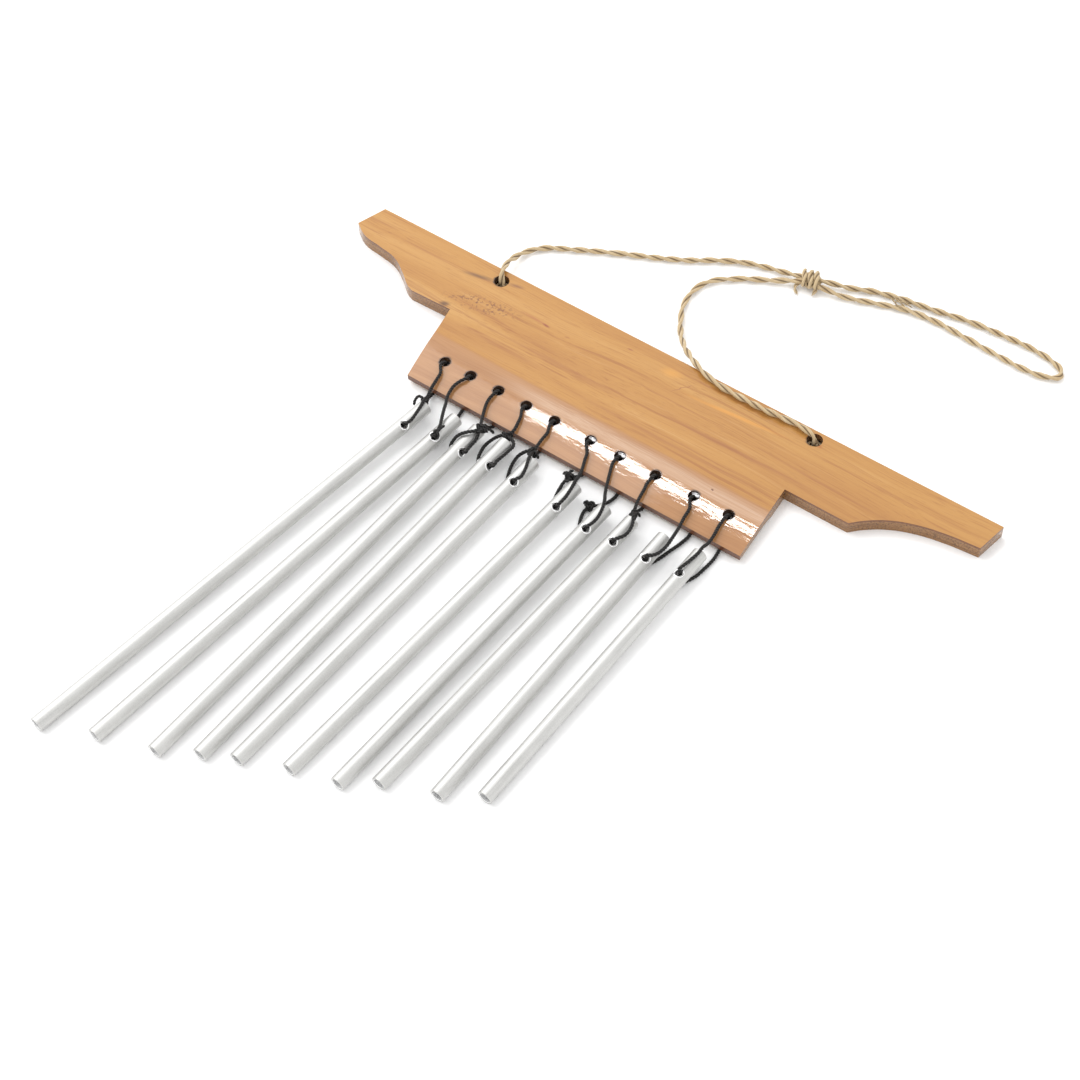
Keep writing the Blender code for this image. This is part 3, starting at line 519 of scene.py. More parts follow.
class Finish:
    """Short calls for building one material's nodes."""

    def __init__(self, name, **fixed):
        self.material = bpy.data.materials.new(name)
        self.material.use_nodes = True
        self.nodes, self.links = self.material.node_tree.nodes, self.material.node_tree.links
        self.shader = self.nodes["Principled BSDF"]
        for socket, value in fixed.items():
            self.shader.inputs[socket.replace("_", " ").title().replace("Ior", "IOR")].default_value = value

    def put(self, socket, value):
        if isinstance(value, bpy.types.NodeSocket):
            self.links.new(value, socket)
        else:
            socket.default_value = value

    def add(self, kind, inputs, output=0, **settings):
        node = self.nodes.new(kind)
        for setting, value in settings.items():
            setattr(node, setting, value)
        for socket, value in inputs.items():
            self.put(node.inputs[socket], value)
        return node.outputs[output]

    def object_place(self):
        """The point on the object, in millimetres."""
        return self.scaled(self.nodes.new("ShaderNodeTexCoord").outputs["Object"], (1000, 1000, 1000))

    def scaled(self, place, scale):
        return self.add("ShaderNodeMapping", {"Vector": place, "Scale": scale})

    def attribute(self, name):
        return self.add("ShaderNodeAttribute", {}, "Fac", attribute_name=name)

    def noise(self, place, scale=1.0, detail=3.0, rough=0.5, output="Fac"):
        return self.add(
            "ShaderNodeTexNoise",
            {"Vector": place, "Scale": scale, "Detail": detail, "Roughness": rough}, output,
        )

    def pushed(self, place, scale, detail, reach):
        """The place, pushed a little way by a slow noise, so that marks and grain wander."""
        push = self.noise(self.scaled(place, scale), detail=detail, output="Color")
        push = self.add("ShaderNodeVectorMath", {0: push, "Scale": reach}, operation="SCALE")
        return self.add("ShaderNodeVectorMath", {0: place, 1: push}, operation="ADD")

    def math(self, operation, a, b=0.0):
        return self.add("ShaderNodeMath", {0: a, 1: b}, operation=operation)

    def times(self, a, b):
        return self.math("MULTIPLY", a, b)

    def ease(self, value, start, end, low=0.0, high=1.0):
        """low where value is at start or before, high at end or after, and smooth between them."""
        return self.add(
            "ShaderNodeMapRange",
            {"Value": value, "From Min": start, "From Max": end, "To Min": low, "To Max": high},
            interpolation_type="SMOOTHSTEP",
        )

    def blend(self, share, a, b, kind="MIX"):
        """Colour a, with b over it by share."""
        node = self.nodes.new("ShaderNodeMix")
        node.data_type, node.blend_type = "RGBA", kind
        self.put(node.inputs[0], share)
        for place, colour in ((6, a), (7, b)):
            self.put(node.inputs[place], (*colour, 1.0) if isinstance(colour, tuple) else colour)
        return node.outputs[2]

    def ramp(self, value, *stops):
        node = self.nodes.new("ShaderNodeValToRGB")
        self.put(node.inputs[0], value)
        bar = node.color_ramp.elements
        while len(bar) < len(stops):
            bar.new(0.5)
        for element, (position, colour) in zip(bar, stops):
            element.position, element.color = position, (*colour, 1.0)
        return node.outputs[0]

    def mark(self, place, centre, reach, turn=0.0, soft=0.4):
        """1 in the middle of an oval mark on the face, 0 outside it."""
        local = self.add(
            "ShaderNodeMapping",
            {"Vector": place, "Location": (*centre, 0.0), "Rotation": (0.0, 0.0, math.radians(turn)),
             "Scale": (*reach, 1e6)},
            vector_type="TEXTURE",
        )
        far = self.add("ShaderNodeVectorMath", {0: local}, "Value", operation="LENGTH")
        return self.ease(far, 1.0, soft)

    def part(self, vector, axis):
        return self.add("ShaderNodeSeparateXYZ", {0: vector}, axis)

    def finish(self, colour, roughness=None, height=None, depth=0.1 * MM, strength=1.0):
        self.links.new(colour, self.shader.inputs["Base Color"])
        if roughness is not None:
            self.links.new(roughness, self.shader.inputs["Roughness"])
        if height is not None:
            bump = self.add("ShaderNodeBump", {"Height": height, "Distance": depth, "Strength": strength})
            self.links.new(bump, self.shader.inputs["Normal"])
        return self.material


def bamboo_material():
    f = Finish(
        "varnished_bamboo", specular_ior_level=0.3, coat_weight=0.85, coat_roughness=0.045, coat_ior=1.5
    )
    place = f.object_place()
    bent = f.pushed(place, (0.010, 0.03, 0.03), 2.0, 9.0)
    wide = f.noise(f.scaled(bent, (0.0030, 0.085, 0.085)), detail=3.0, rough=0.55)
    middle = f.noise(f.scaled(bent, (0.0065, 0.42, 0.42)), detail=4.0, rough=0.6)
    fine = f.noise(f.scaled(bent, (0.030, 2.6, 2.6)), detail=3.0, rough=0.6)
    flecks = f.noise(f.scaled(bent, (0.22, 3.4, 3.4)), detail=2.0, rough=0.5)
    colour = f.ramp(
        wide, (0.30, (0.328, 0.138, 0.029)), (0.42, (0.415, 0.191, 0.044)),
        (0.56, (0.461, 0.226, 0.054)), (0.72, (0.511, 0.271, 0.078)),
    )
    colour = f.blend(f.ease(middle, 0.54, 0.70, 0.0, 0.62), colour, (0.299, 0.108, 0.026))
    colour = f.blend(f.ease(middle, 0.42, 0.26, 0.0, 0.45), colour, (0.537, 0.297, 0.104))
    colour = f.blend(f.ease(fine, 0.50, 0.76, 0.0, 0.60), colour, (0.283, 0.102, 0.025))
    colour = f.blend(f.ease(flecks, 0.60, 0.78, 0.0, 0.40), colour, (0.250, 0.091, 0.026))

    streaks = (
        ((50, 116.2), (58, 1.5), 0.6, 0.55), ((-62, 107.4), (36, 2.4), 0.0, 0.45),
        ((90, 121.5), (46, 1.0), -2.0, 0.42), ((-120, 133.5), (26, 1.2), 0.0, 0.38),
        ((20, 104.2), (70, 1.4), 0.0, 0.42), ((115, 133.0), (34, 0.8), -1.0, 0.36),
        ((-34, 113.2), (48, 2.0), 0.0, 0.45), ((10, 123.4), (44, 0.9), -0.5, 0.32),
    )
    grainy = f.pushed(place, (0.05, 0.6, 0.6), 3.0, 1.6)
    grainy_y = f.part(grainy, "Y")
    for centre, reach, turn, share in streaks:
        mask = f.times(f.mark(grainy, centre, reach, turn, 0.0), share)
        colour = f.blend(mask, colour, (0.295, 0.104, 0.032))

    lip = f.ease(grainy_y, 99.6, 97.4)
    lip_colour = f.ramp(
        middle, (0.30, (0.334, 0.150, 0.054)), (0.50, (0.370, 0.174, 0.064)), (0.70, (0.411, 0.203, 0.079)),
    )
    lip_colour = f.blend(f.ease(fine, 0.48, 0.80, 0.0, 0.50), lip_colour, (0.257, 0.100, 0.033))
    # Painted reflection: a pale streaky glow is painted on the lip above the line of the holes, fading out
    # to the left, where the strip light's reflection spreads
    painted_glow = f.times(f.ease(grainy_y, 88.5, 92.5), f.ease(grainy_y, 99.0, 93.5))
    painted_glow = f.times(painted_glow, f.ease(f.part(place, "X"), -66, -20, 0.1, 1.0))
    painted_glow = f.times(painted_glow, f.ease(fine, 0.30, 0.62, 0.75, 0.40))
    lip_colour = f.blend(painted_glow, lip_colour, (0.600, 0.420, 0.300))
    colour = f.blend(lip, colour, lip_colour)

    # Stains and scratches on the face
    speckle = f.noise(place, scale=0.85, detail=3.0, rough=0.65)
    mould = f.times(f.mark(grainy, (-82, 122), (23, 6.0), 12, 0.3), f.ease(speckle, 0.52, 0.62))
    colour = f.blend(f.times(mould, 0.85), colour, (0.172, 0.065, 0.026))
    stains = (
        ((-93.5, 134.6), (11, 1.7), 12, 0.1, 0.75, (0.146, 0.073, 0.034)),
        ((-76.5, 139.2), (5.5, 1.7), 14, 0.1, 0.65, (0.215, 0.086, 0.039)),
        ((-58.5, 128.6), (9.5, 1.1), -2, 0.1, 0.45, (0.327, 0.095, 0.039)),
        ((-53.0, 128.0), (2.6, 0.9), -8, 0.2, 0.85, (0.241, 0.052, 0.026)),
        ((-15.7, 137.0), (2.0, 0.7), 4, 0.2, 0.60, (0.292, 0.086, 0.034)),
        ((-41.7, 127.3), (1.8, 0.7), 4, 0.2, 0.45, (0.292, 0.106, 0.034)),
        ((6.0, 136.0), (7.0, 3.6), 10, 0.1, 0.45, (0.671, 0.310, 0.052)),
        ((40.0, 131.6), (30.0, 1.5), 5, 0.1, 0.60, (0.654, 0.284, 0.043)),
        ((14.0, 131.6), (7.2, 0.34), 53, 0.4, 0.65, (0.310, 0.120, 0.043)),
        ((-96.5, 113.6), (3.6, 2.2), 20, 0.1, 0.80, (0.086, 0.039, 0.022)),
        ((76.5, 137.6), (2.8, 1.6), -12, 0.1, 0.75, (0.361, 0.112, 0.017)),
        ((52.8, 94.4), (0.75, 0.6), 0, 0.5, 0.90, (0.138, 0.052, 0.026)),
    )
    for centre, reach, turn, soft, share, tint in stains:
        mask = f.times(f.mark(grainy, centre, reach, turn, soft), share)
        colour = f.blend(mask, colour, tint)

    # Cut faces: pale fibres with brown flecks, a dark line under the varnished edge, and painted shade on
    # the lip's front face
    facing_up = f.part(f.nodes.new("ShaderNodeNewGeometry").outputs["Normal"], "Z")
    upright = f.ease(f.math("ABSOLUTE", facing_up), 0.72, 0.45)
    pores = f.noise(f.scaled(place, (1.5, 1.5, 2.6)), detail=2.0, rough=0.6)
    layers = f.noise(f.scaled(place, (0.05, 0.05, 1.9)), detail=2.0)
    cut_colour = f.ramp(layers, (0.35, (0.204, 0.091, 0.028)), (0.60, (0.314, 0.157, 0.054)))
    cut_colour = f.blend(f.ease(pores, 0.50, 0.62, 0.0, 0.80), cut_colour, (0.071, 0.026, 0.008))
    high = f.part(place, "Z")
    cut_colour = f.blend(f.ease(high, 5.0, 6.0, 0.0, 0.80), cut_colour, (0.137, 0.039, 0.010))
    # Painted shade: cut faces at the lip's front edge, below y = 74 mm, are painted darker
    painted_front_shade = f.ease(f.part(place, "Y"), 74.2, 73.4)
    cut_colour = f.blend(f.times(painted_front_shade, 0.9), cut_colour, (0.105, 0.030, 0.010))
    colour = f.blend(upright, colour, cut_colour)

    # Painted shade in the drilled holes: their walls and a ring round each are painted near black
    rims = None
    holes = [(row[0] / MM, LIP_HOLE_Y / MM, LIP_HOLE_R / MM) for row in CHIMES]
    holes += [(x / MM - 0.4, y / MM - 0.4, TWINE_HOLE_R / MM - 0.5) for x, y in TWINE_HOLES.values()]
    for x, y, radius in holes:
        reach = radius + 0.9
        rim = f.mark(grainy, (x + 0.8, y + 0.8), (reach, reach), 0, (radius - 0.1) / reach)
        rims = rim if rims is None else f.math("MAXIMUM", rims, rim)
    colour = f.blend(f.times(rims, 0.92), colour, (0.030, 0.013, 0.008))

    underneath = f.ease(facing_up, -0.5, -0.8)
    raw = f.ramp(middle, (0.30, (0.352, 0.208, 0.096)), (0.70, (0.480, 0.320, 0.168)))
    raw = f.blend(f.ease(fine, 0.50, 0.80, 0.0, 0.5), raw, (0.264, 0.136, 0.056))
    colour = f.blend(underneath, colour, raw)

    dull = f.math("MAXIMUM", upright, underneath)
    roughness = f.math("ADD", f.ease(fine, 0.3, 0.8, 0.46, 0.58), f.times(dull, 0.3))
    height = f.math("ADD", f.times(middle, 0.6), f.times(fine, 0.5))
    height = f.math("ADD", height, f.times(f.times(pores, upright), 2.2))
    material = f.finish(colour, roughness, height, 0.05 * MM, 0.5)

    # The lacquer ran down the lip and dried in ridges below the line of the holes
    ran = f.ease(f.part(place, "Y"), 91.0, 84.5, 0.12, 1.0)
    ridges = f.noise(f.scaled(place, (0.13, 0.42, 0.42)), detail=2.5, rough=0.5)
    ridges = f.times(ridges, ran)
    coat_bump = f.add("ShaderNodeBump", {"Height": ridges, "Distance": 0.042 * MM, "Strength": 0.8})
    f.links.new(coat_bump, f.shader.inputs["Coat Normal"])
    return material


def aluminium_material():
    f = Finish("satin_aluminium", metallic=1.0)
    place = f.object_place()
    drawn = f.noise(f.scaled(place, (2.2, 2.2, 0.022)), detail=4.0, rough=0.6)
    cloudy = f.noise(f.scaled(place, (0.25, 0.25, 0.09)), detail=3.0)
    nicks = f.noise(f.scaled(place, (1.1, 1.1, 0.65)), detail=2.0, rough=0.7)
    grit = f.noise(place, scale=2.6, detail=2.0)
    colour = f.ramp(cloudy, (0.30, (0.545, 0.542, 0.526)), (0.70, (0.615, 0.611, 0.595)))
    colour = f.blend(f.ease(drawn, 0.52, 0.78, 0.0, 0.50), colour, (0.43, 0.427, 0.415))
    colour = f.blend(f.ease(grit, 0.42, 0.62, 0.0, 0.18), colour, (0.80, 0.80, 0.79))
    colour = f.blend(f.ease(nicks, 0.70, 0.78, 0.0, 0.45), colour, (0.42, 0.42, 0.43))
    # Painted light: the inside of the tube is painted near white, for the light the bore gathers. The burrs
    # round the cross holes are bright polished metal, and partly a painted highlight as well
    rim, bore = f.attribute("rim"), f.attribute("bore")
    colour = f.blend(f.math("MAXIMUM", rim, bore), colour, (0.96, 0.96, 0.96))
    roughness = f.math("ADD", f.ease(drawn, 0.3, 0.7, 0.47, 0.54), f.ease(cloudy, 0.4, 0.7, 0.0, 0.06))
    roughness = f.math("SUBTRACT", roughness, f.times(rim, 0.30))
    height = f.math("SUBTRACT", f.times(drawn, 0.10), f.ease(nicks, 0.66, 0.80, 0.0, 1.0))
    return f.finish(colour, roughness, height, 0.02 * MM, 0.5)


def lacquer_material():
    f = Finish("dried_lacquer_painted_glint", roughness=0.12, coat_weight=1.0, coat_roughness=0.03)
    place = f.object_place()
    ripple_and_painted_glint = f.noise(place, scale=0.9, detail=3.0)
    # Painted glint: the near-white patches in the lacquer's colour, set by the noise, stand for the glint
    # in the holes
    colour = f.ramp(
        ripple_and_painted_glint, (0.38, (0.10, 0.085, 0.085)), (0.50, (0.62, 0.62, 0.64)), (0.62, (0.92, 0.92, 0.93)),
    )
    return f.finish(colour, None, ripple_and_painted_glint, 0.3 * MM, 0.8)


def cord_material():
    f = Finish("waxed_black_cord", specular_ior_level=0.22)
    along = f.nodes.new("ShaderNodeUVMap").outputs[0]
    fibres = f.noise(f.scaled(along, (26.0, 900.0, 1.0)), detail=3.0, rough=0.6)
    colour = f.ramp(fibres, (0.30, (0.011, 0.0105, 0.010)), (0.72, (0.058, 0.055, 0.053)))
    # Painted shade: the creases between the plies are painted near black
    colour = f.blend(f.ease(f.attribute("crease"), 0.08, 0.55, 0.0, 0.97), colour, (0.001, 0.001, 0.001))
    roughness = f.ease(fibres, 0.2, 0.8, 0.50, 0.34)
    return f.finish(colour, roughness, fibres, 0.05 * MM, 0.5)


def twine_material():
    f = Finish("fibre_twine", sheen_weight=0.15, sheen_roughness=0.5)
    along = f.nodes.new("ShaderNodeUVMap").outputs[0]
    fibres = f.noise(f.scaled(along, (34.0, 260.0, 1.0)), detail=4.0, rough=0.65)
    patches = f.noise(f.scaled(along, (2.0, 95.0, 1.0)), detail=3.0)
    colour = f.ramp(
        fibres, (0.25, (0.308, 0.201, 0.090)), (0.45, (0.496, 0.363, 0.197)), (0.70, (0.650, 0.531, 0.342)),
    )
    colour = f.blend(f.ease(patches, 0.52, 0.72, 0.0, 0.65), colour, (0.428, 0.291, 0.145))
    colour = f.blend(f.ease(patches, 0.42, 0.28, 0.0, 0.55), colour, (0.736, 0.642, 0.479))
    # Painted shade: the creases between the plies are painted dark brown
    colour = f.blend(f.ease(f.attribute("crease"), 0.36, 0.90, 0.0, 0.88), colour, (0.115, 0.062, 0.024))
    roughness = f.ease(fibres, 0.2, 0.8, 0.80, 0.55)
    return f.finish(colour, roughness, fibres, 0.16 * MM, 0.7)


# Cords


def tube_frame(number):
    """A tube's place, with its Z towards its upper end, the roll of its cross hole, and its length."""
    _, x, y, lean, roll = CHIMES[number - 1]
    length = TUBE_LONGEST - TUBE_STEP * (number - 1)
    rise = math.asin((TUBE_PIVOT_Z - TUBE_FOOT_Z) / (length - TUBE_HOLE_FROM_TOP))
    turn = Matrix.Rotation(-math.radians(lean), 4, "Z")
    lie = Matrix.Rotation(rise - math.radians(90), 4, "X")
    spin = Matrix.Rotation(math.radians(roll), 4, "Z")
    return Matrix.Translation((x, y, TUBE_PIVOT_Z)) @ turn @ lie, spin, length


def half_turn(lip_x):
    angles = [math.radians(90 - 30 * step) for step in range(7)]
    return [Vector((lip_x, TURN_Y + TURN_R * math.cos(a), TURN_Z + TURN_R * math.sin(a))) for a in angles]


def cord_runs(number):
    """The knot's place, and one or two named runs of cord that start and end at it."""
    place, spin, _ = tube_frame(number)
    hole = place @ spin
    centre = hole.translation
    up = (hole.to_3x3() @ Vector((0, -1, 0))).normalized()
    forward = Vector((0, 1, 0))
    beside = Vector((0.7 if number in BORE_KNOTS else -0.25, 1.0, 0.0))
    beside = centre + (beside - up * beside.dot(up)).normalized() * BORE_ASIDE
    above = [centre + (4.5 * up + 0.8 * forward) * MM, beside + 2.8 * MM * up]
    below = [centre - (4.1 * up - 0.3 * forward) * MM, beside - 2.2 * MM * up]
    over, under = in_metres(CORD_OVER[number - 1]), in_metres(CORD_UNDER[number - 1])
    lip_x = CHIMES[number - 1][0]
    upper = over[::-1] + half_turn(lip_x) + under
    through = above + [beside] + below[::-1]
    if number in LOOP_KNOTS:
        knot = Vector(LOOP_KNOTS[number]) * MM
        to_upper, to_lower = in_metres(LOOP_UPPER[number]), in_metres(LOOP_LOWER[number])
        return knot, {
            f"cord_{number:02d}": [knot] + upper + [knot],
            f"cord_loop_{number:02d}": [knot] + to_upper + through + to_lower[::-1] + [knot],
        }
    if number in HOLE_KNOT_HEIGHT:
        knot = centre + HOLE_KNOT_HEIGHT[number] * up
        return knot, {f"cord_{number:02d}": [knot] + upper + through[:0:-1] + [knot]}
    ring = over[::-1] + half_turn(lip_x) + under + through[::-1]
    knot = beside if number in BORE_KNOTS else under[UNDER_KNOTS[number]]
    first = ring.index(knot)
    return knot, {f"cord_{number:02d}": ring[first:] + ring[:first] + [knot]}


def make_cords(number, material):
    knot, runs = cord_runs(number)
    body = f"loop_{number:02d}"
    facing = KNOT_FACING.get(number, (0.2, -0.3, 1))
    route = trefoil(knot, facing, KNOT_SCALE[number] * MM, 40 * number)
    parts = [rope_object(f"knot_{number:02d}", route, KNOT, material, number)[0]]
    for k, tail in enumerate(KNOT_TAILS.get(number, ())):
        route = smooth_through([knot] + in_metres(tail))
        name = f"tail_{number:02d}_{k}"
        parts.append(rope_object(name, route, KNOT, material, number + k, (0, 0.6 * MM))[0])
    lump = join(f"knot_{number:02d}", parts)
    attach(lump, body)
    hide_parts(f"cord_knot_{number:02d}")
    for name, run in runs.items():
        route = smooth_through(run)
        piece, path = rope_object(name.replace("cord", "loop_cord"), route, CORD, material, number)
        if name.startswith("cord_loop"):
            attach(piece, body)
        else:
            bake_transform(piece)
        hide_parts(name)


def make_stopper(name, material):
    """The flat knot in a counterbore, with its loose end standing in the hole."""
    x, y = TWINE_HOLES[name]
    turns = trefoil((x, y, 1.75 * MM), (0, 0, 1), 0.88 * MM, 15, 0.15)
    knot, _ = rope_object(f"stopper_knot_{name}", turns, TWINE_FLAT, material, 6)
    hole = Vector((x, y, 0.0))
    end = smooth_through([hole + Vector(place) * MM for place in STOPPER_END])
    loose, _ = rope_object(f"stopper_end_{name}", end, TWINE_THIN, material, 2, (0, 2 * MM))
    knot = join(f"stopper_knot_{name}", [knot, loose])
    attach(knot, "board")
    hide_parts(f"twine_stopper_{name}")
    return knot


def make_hanger(material):
    """The twine: a strand from each board hole to the knot, and the loop beyond it."""
    knot_at = Vector(TWINE_KNOT_AT) * MM
    strand = math.radians(WRAP_HEADING)
    axis = Vector((math.cos(strand), math.sin(strand), 0.0))
    side = Vector((-axis.y, axis.x, 0.0))
    wraps = []
    for step in range(61):
        t = step / 60
        angle = 2 * math.pi * WRAP_TURNS * t + 0.6
        place = knot_at + axis * (t - 0.5) * WRAP_LENGTH + side * math.cos(angle) * WRAP_WIDTH
        place.z += math.sin(angle) * WRAP_HEIGHT + 0.2 * MM
        wraps.append(place)
    knot, _ = rope_object("hanger_knot_wraps", evenly(wraps, 0.4 * MM), TWINE_TIGHT, material, 5)
    heart = trefoil(knot_at, (0.1, -0.2, 1), 0.95 * MM, 20, 0.7)
    core, _ = rope_object("hanger_knot_core", heart, TWINE_TIGHT, material, 8)
    parts = [knot, core]
    for name, route, seed in (("hanger_tail", TWINE_TAIL, 3), ("hanger_stub", TWINE_STUB, 4)):
        route = smooth_through(in_metres(route))
        parts.append(rope_object(name, route, TWINE_THIN, material, seed, (0, 2 * MM))[0])
    knot = join("hanger_knot", parts)
    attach(knot, "hanger")
    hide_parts("twine_knot")

    parts = []
    for k, line in enumerate(TWINE_TUFT):
        route = smooth_through(in_metres(line))
        parts.append(rope_object(f"tuft_{k}", route, TWINE_FRAY, material, k, (1 * MM, 2 * MM))[0])
    tuft = join("hanger_tuft", parts)
    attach(tuft, "hanger")

    for name, route in (("left", TWINE_LEFT), ("right", TWINE_RIGHT), ("loop", TWINE_LOOP)):
        route = smooth_through(in_metres(route, LYING_TWINE))
        piece, path = rope_object(f"hanger_{name}", route, TWINE, material, len(name))
        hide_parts(f"twine_{name}")
        if name == "loop":
            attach(piece, "hanger")
            partners = [knot, tuft]
        else:
            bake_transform(piece)
            partners = [make_stopper(name, material)]


# The board


def lip_top(y):
    past = max(0.0, LIP_CREST_Y - y) / (LIP_CREST_Y - LIP_EDGE_Y)
    return BOARD_THICK - LIP_DROP * past**2


def make_board(material):
    halfway_up = Matrix.Translation((0, 0, BOARD_THICK / 2))
    outline = [(x * MM, y * MM, sharp) for x, y, sharp in OUTLINE]
    board = add_object("board", outline_mesh(outline, BOARD_THICK, halfway_up))
    steps, over = 24, 4 * MM
    back = BOARD_HIGH.y + over
    section = [(back, 0.0), (back, BOARD_THICK)]
    ys = [LIP_CREST_Y - (LIP_CREST_Y - LIP_EDGE_Y) * k / steps for k in range(steps + 1)]
    section += [(y, lip_top(y)) for y in ys]
    section += [(LIP_EDGE_Y - over, lip_top(LIP_EDGE_Y)), (LIP_EDGE_Y - over, RELIEF_HEIGHT)]
    section += [(RELIEF_FULL_Y, RELIEF_HEIGHT), (RELIEF_START_Y, 0.0)]
    upright = Matrix(((0, 0, 1, 0), (1, 0, 0, 0), (0, 1, 0, 0), (0, 0, 0, 1)))
    cut(board, outline_mesh([(y, z, True) for y, z in section], 0.2, upright, 1), operation="INTERSECT")
    for row in CHIMES:
        cut(board, rod_mesh(LIP_HOLE_R, DRILL_LENGTH, 40), Matrix.Translation((row[0], LIP_HOLE_Y, 0)))
    for x, y in TWINE_HOLES.values():
        place = Matrix.Translation((x, y, 0))
        cut(board, rod_mesh(TWINE_HOLE_R, DRILL_LENGTH, 48), place)
        cut(board, rod_mesh(COUNTERBORE_R, 2 * COUNTERBORE_DEPTH, 48), place)
    along_y = Matrix.Rotation(math.radians(90), 4, "X")
    cut(board, rod_mesh(SPLIT_R, SPLIT_LENGTH, 3), Matrix.Translation(SPLIT_AT) @ along_y)
    bevel = board.modifiers.new("rounded_edges", "BEVEL")
    bevel.width, bevel.segments = EDGE_ROUND, 3
    bevel.limit_method, bevel.angle_limit = "ANGLE", math.radians(40)
    bevel.harden_normals = True
    board.data.shade_smooth()
    bake_modifiers(board)
    board.data.materials.clear()
    board.data.materials.append(material)
    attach(board, "board")
    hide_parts("bamboo_board")


def make_lacquer(number, material):
    """A dried skin of lacquer, bridging the back of one lip hole."""
    shape = bmesh.new()
    bmesh.ops.create_icosphere(shape, subdivisions=4, radius=1.0)
    for vert in shape.verts:
        vert.co *= 1 + 0.16 * noise.noise(vert.co * 1.7 + Vector((number, 0, 0)))
        vert.co *= LACQUER_SIZE
    mesh = mesh_of(shape, "lacquer")
    mesh.shade_smooth()
    drop = add_object(f"lacquer_{number:02d}", mesh, material)
    hole = Vector((CHIMES[number - 1][0], LIP_HOLE_Y, lip_top(LIP_HOLE_Y)))
    drop.location = hole + LACQUER_FROM_HOLE
    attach(drop, "board")


# The tubes


def burr_mesh(spin, side):
    """The raised bright edge that the drill left round a cross hole."""
    shape = bmesh.new()
    rings = []
    for step in range(40):
        t = 2 * math.pi * step / 40
        across, along = BURR_R * math.cos(t), BURR_R * math.sin(t)
        middle = Vector((across, side * math.sqrt(TUBE_R**2 - across**2), along))
        out = Vector((middle.x, middle.y, 0.0)).normalized()
        away = Vector((math.cos(t), 0.0, math.sin(t)))
        corners = [math.radians(45 * k) for k in range(8)]
        rings.append([
            shape.verts.new(spin @ (middle + BURR_THICK * (math.cos(a) * away + 0.8 * math.sin(a) * out)))
            for a in corners
        ])
    for first, second in zip(rings, rings[1:] + rings[:1]):
        for k in range(8):
            after = (k + 1) % 8
            shape.faces.new((first[k], first[after], second[after], second[k]))
    bmesh.ops.recalc_face_normals(shape, faces=shape.faces)
    return mesh_of(shape, "burr")


def mark_faces(mesh, spin):
    """1 in "rim" on the cross hole's bright edges, and 1 in "bore" on the inside of the tube."""
    to_hole = spin.inverted()
    rim, bore = [], []
    for face in mesh.polygons:
        places = [to_hole @ mesh.vertices[v].co for v in face.vertices]
        rim.append(float(all(math.hypot(p.x, p.z) < BURR_R + 1.1 * BURR_THICK for p in places)))
        bore.append(float(all(math.hypot(p.x, p.y) < TUBE_R - 0.5 * MM for p in places)))
    for name, values in (("rim", rim), ("bore", bore)):
        mesh.attributes.new(name, "FLOAT", "FACE").data.foreach_set("value", values)


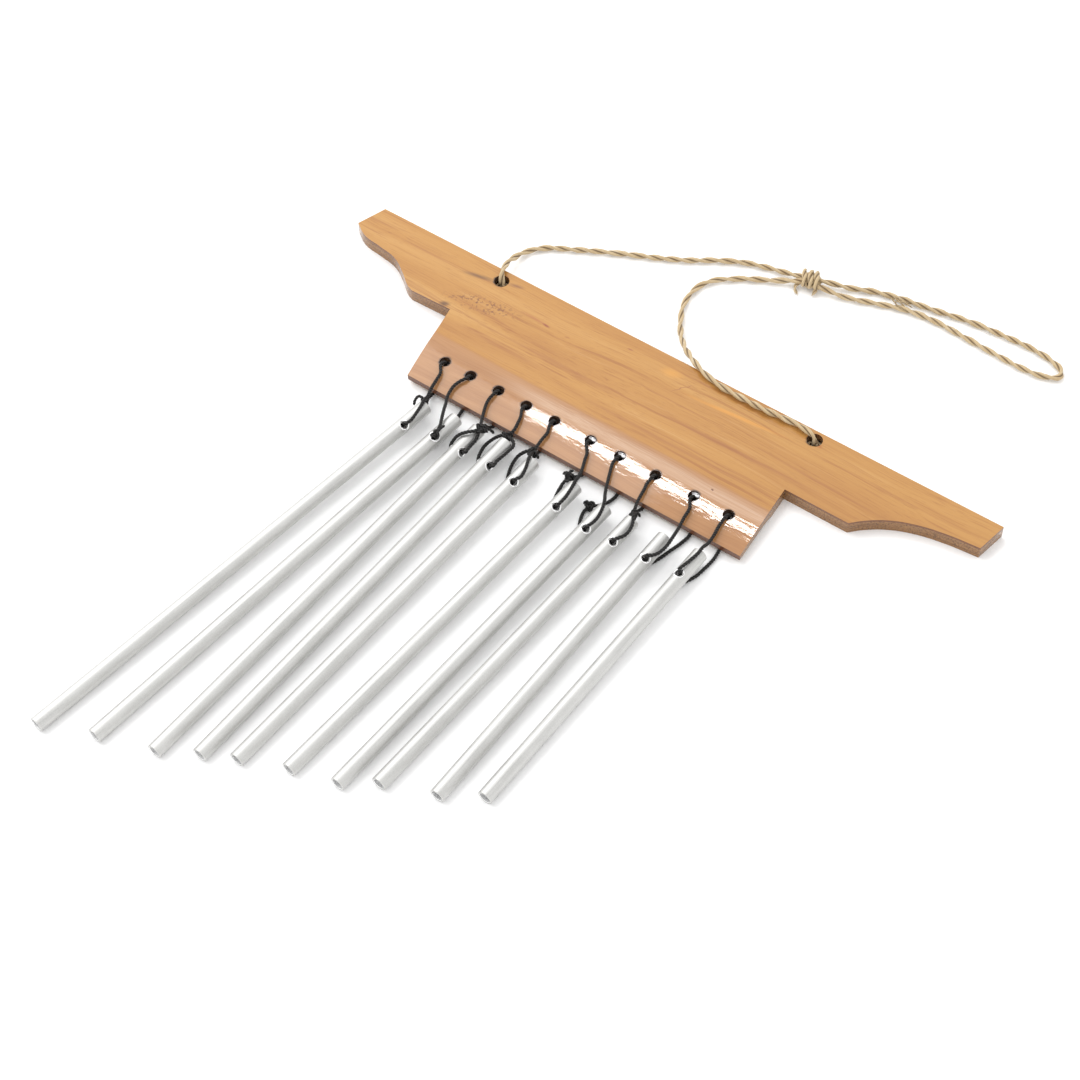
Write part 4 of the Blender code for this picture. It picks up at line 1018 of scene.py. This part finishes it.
def make_tube(number, material):
    """A drawn tube with eased rims, and a cross hole with a burr on both sides."""
    place, spin, length = tube_frame(number)
    top, foot = TUBE_HOLE_FROM_TOP, TUBE_HOLE_FROM_TOP - length
    inner, ease = TUBE_R - TUBE_WALL, 0.14 * MM
    corners = (
        (TUBE_R - ease, top), (TUBE_R, top - ease), (TUBE_R, foot + ease), (TUBE_R - ease, foot),
        (inner + ease, foot), (inner, foot + ease), (inner, top - ease), (inner + ease, top),
    )
    shape = bmesh.new()
    ring = [shape.verts.new((r, 0.0, z)) for r, z in corners]
    for start, end in zip(ring, ring[1:] + ring[:1]):
        shape.edges.new((start, end))
    tube = add_object(f"chime_{number:02d}", mesh_of(shape, "tube"))
    screw = tube.modifiers.new("turned", "SCREW")
    screw.steps = screw.render_steps = 72
    screw.use_merge_vertices, screw.merge_threshold = True, WELD
    bake_modifiers(tube)
    hole_way = spin @ Matrix.Rotation(math.radians(90), 4, "X")
    cut(tube, rod_mesh(TUBE_HOLE_R, 4 * TUBE_R, 40), hole_way)
    burrs = [add_object("burr", burr_mesh(spin, side)) for side in (1, -1)]
    tube = join(f"chime_{number:02d}", [tube, *burrs])
    mark_faces(tube.data, spin)
    tube.data.shade_smooth()
    tube.data.set_sharp_from_angle(angle=math.radians(30))
    tube.data.materials.clear()
    tube.data.materials.append(material)
    tube.matrix_world = place
    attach(tube, f"chime_{number:02d}")
    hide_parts(f"tube_{number:02d}")


# Floor and lights


def make_studio():
    shape = bmesh.new()
    bmesh.ops.create_grid(shape, x_segments=1, y_segments=1, size=4.0)
    white = Finish(
        "white_floor", base_color=(0.96, 0.96, 0.96, 1.0), roughness=0.9, specular_ior_level=0.0
    )
    add_object("floor", mesh_of(shape, "floor"), white.material)

    world = bpy.data.worlds.new("studio")
    world.use_nodes = True
    background = world.node_tree.nodes["Background"]
    background.inputs["Color"].default_value = (1.0, 1.0, 1.0, 1.0)
    background.inputs["Strength"].default_value = WORLD_LIGHT
    bpy.context.scene.world = world
    add_softbox("key", KEY_AT, (0.0, 0.05, 0.0), KEY_SIZE, KEY_POWER)

    # A strip light where the rounded lip mirrors it to the camera
    slope = 2 * LIP_DROP * (LIP_CREST_Y - GLOSS_AT.y) / (LIP_CREST_Y - LIP_EDGE_Y) ** 2
    normal = Vector((0.0, -slope, 1.0)).normalized()
    gaze = (GLOSS_AT - CAMERA_AT).normalized()
    mirrored = gaze - 2 * gaze.dot(normal) * normal
    add_softbox("strip", GLOSS_AT + mirrored * STRIP_FAR, GLOSS_AT, STRIP_SIZE, STRIP_POWER)


def add_softbox(name, at, aim, size, power):
    light = add_object(name, bpy.data.lights.new(name, "AREA"))
    light.data.shape = "RECTANGLE"
    light.data.size, light.data.size_y = size
    light.data.energy = power
    away = (Vector(at) - Vector(aim)).normalized()
    width = (Vector((1, 0, 0)) - away * away.x).normalized()
    turn = Matrix((width, away.cross(width), away)).transposed()
    light.matrix_world = Matrix.Translation(at) @ turn.to_4x4()


add_camera()
BLACK, FIBRE = cord_material(), twine_material()
for chime in range(1, len(CHIMES) + 1):
    make_cords(chime, BLACK)
make_hanger(FIBRE)
make_board(bamboo_material())
LACQUER = lacquer_material()
for chime in LACQUERED:
    make_lacquer(chime, LACQUER)
METAL = aluminium_material()
for chime in range(1, len(CHIMES) + 1):
    make_tube(chime, METAL)
make_studio()
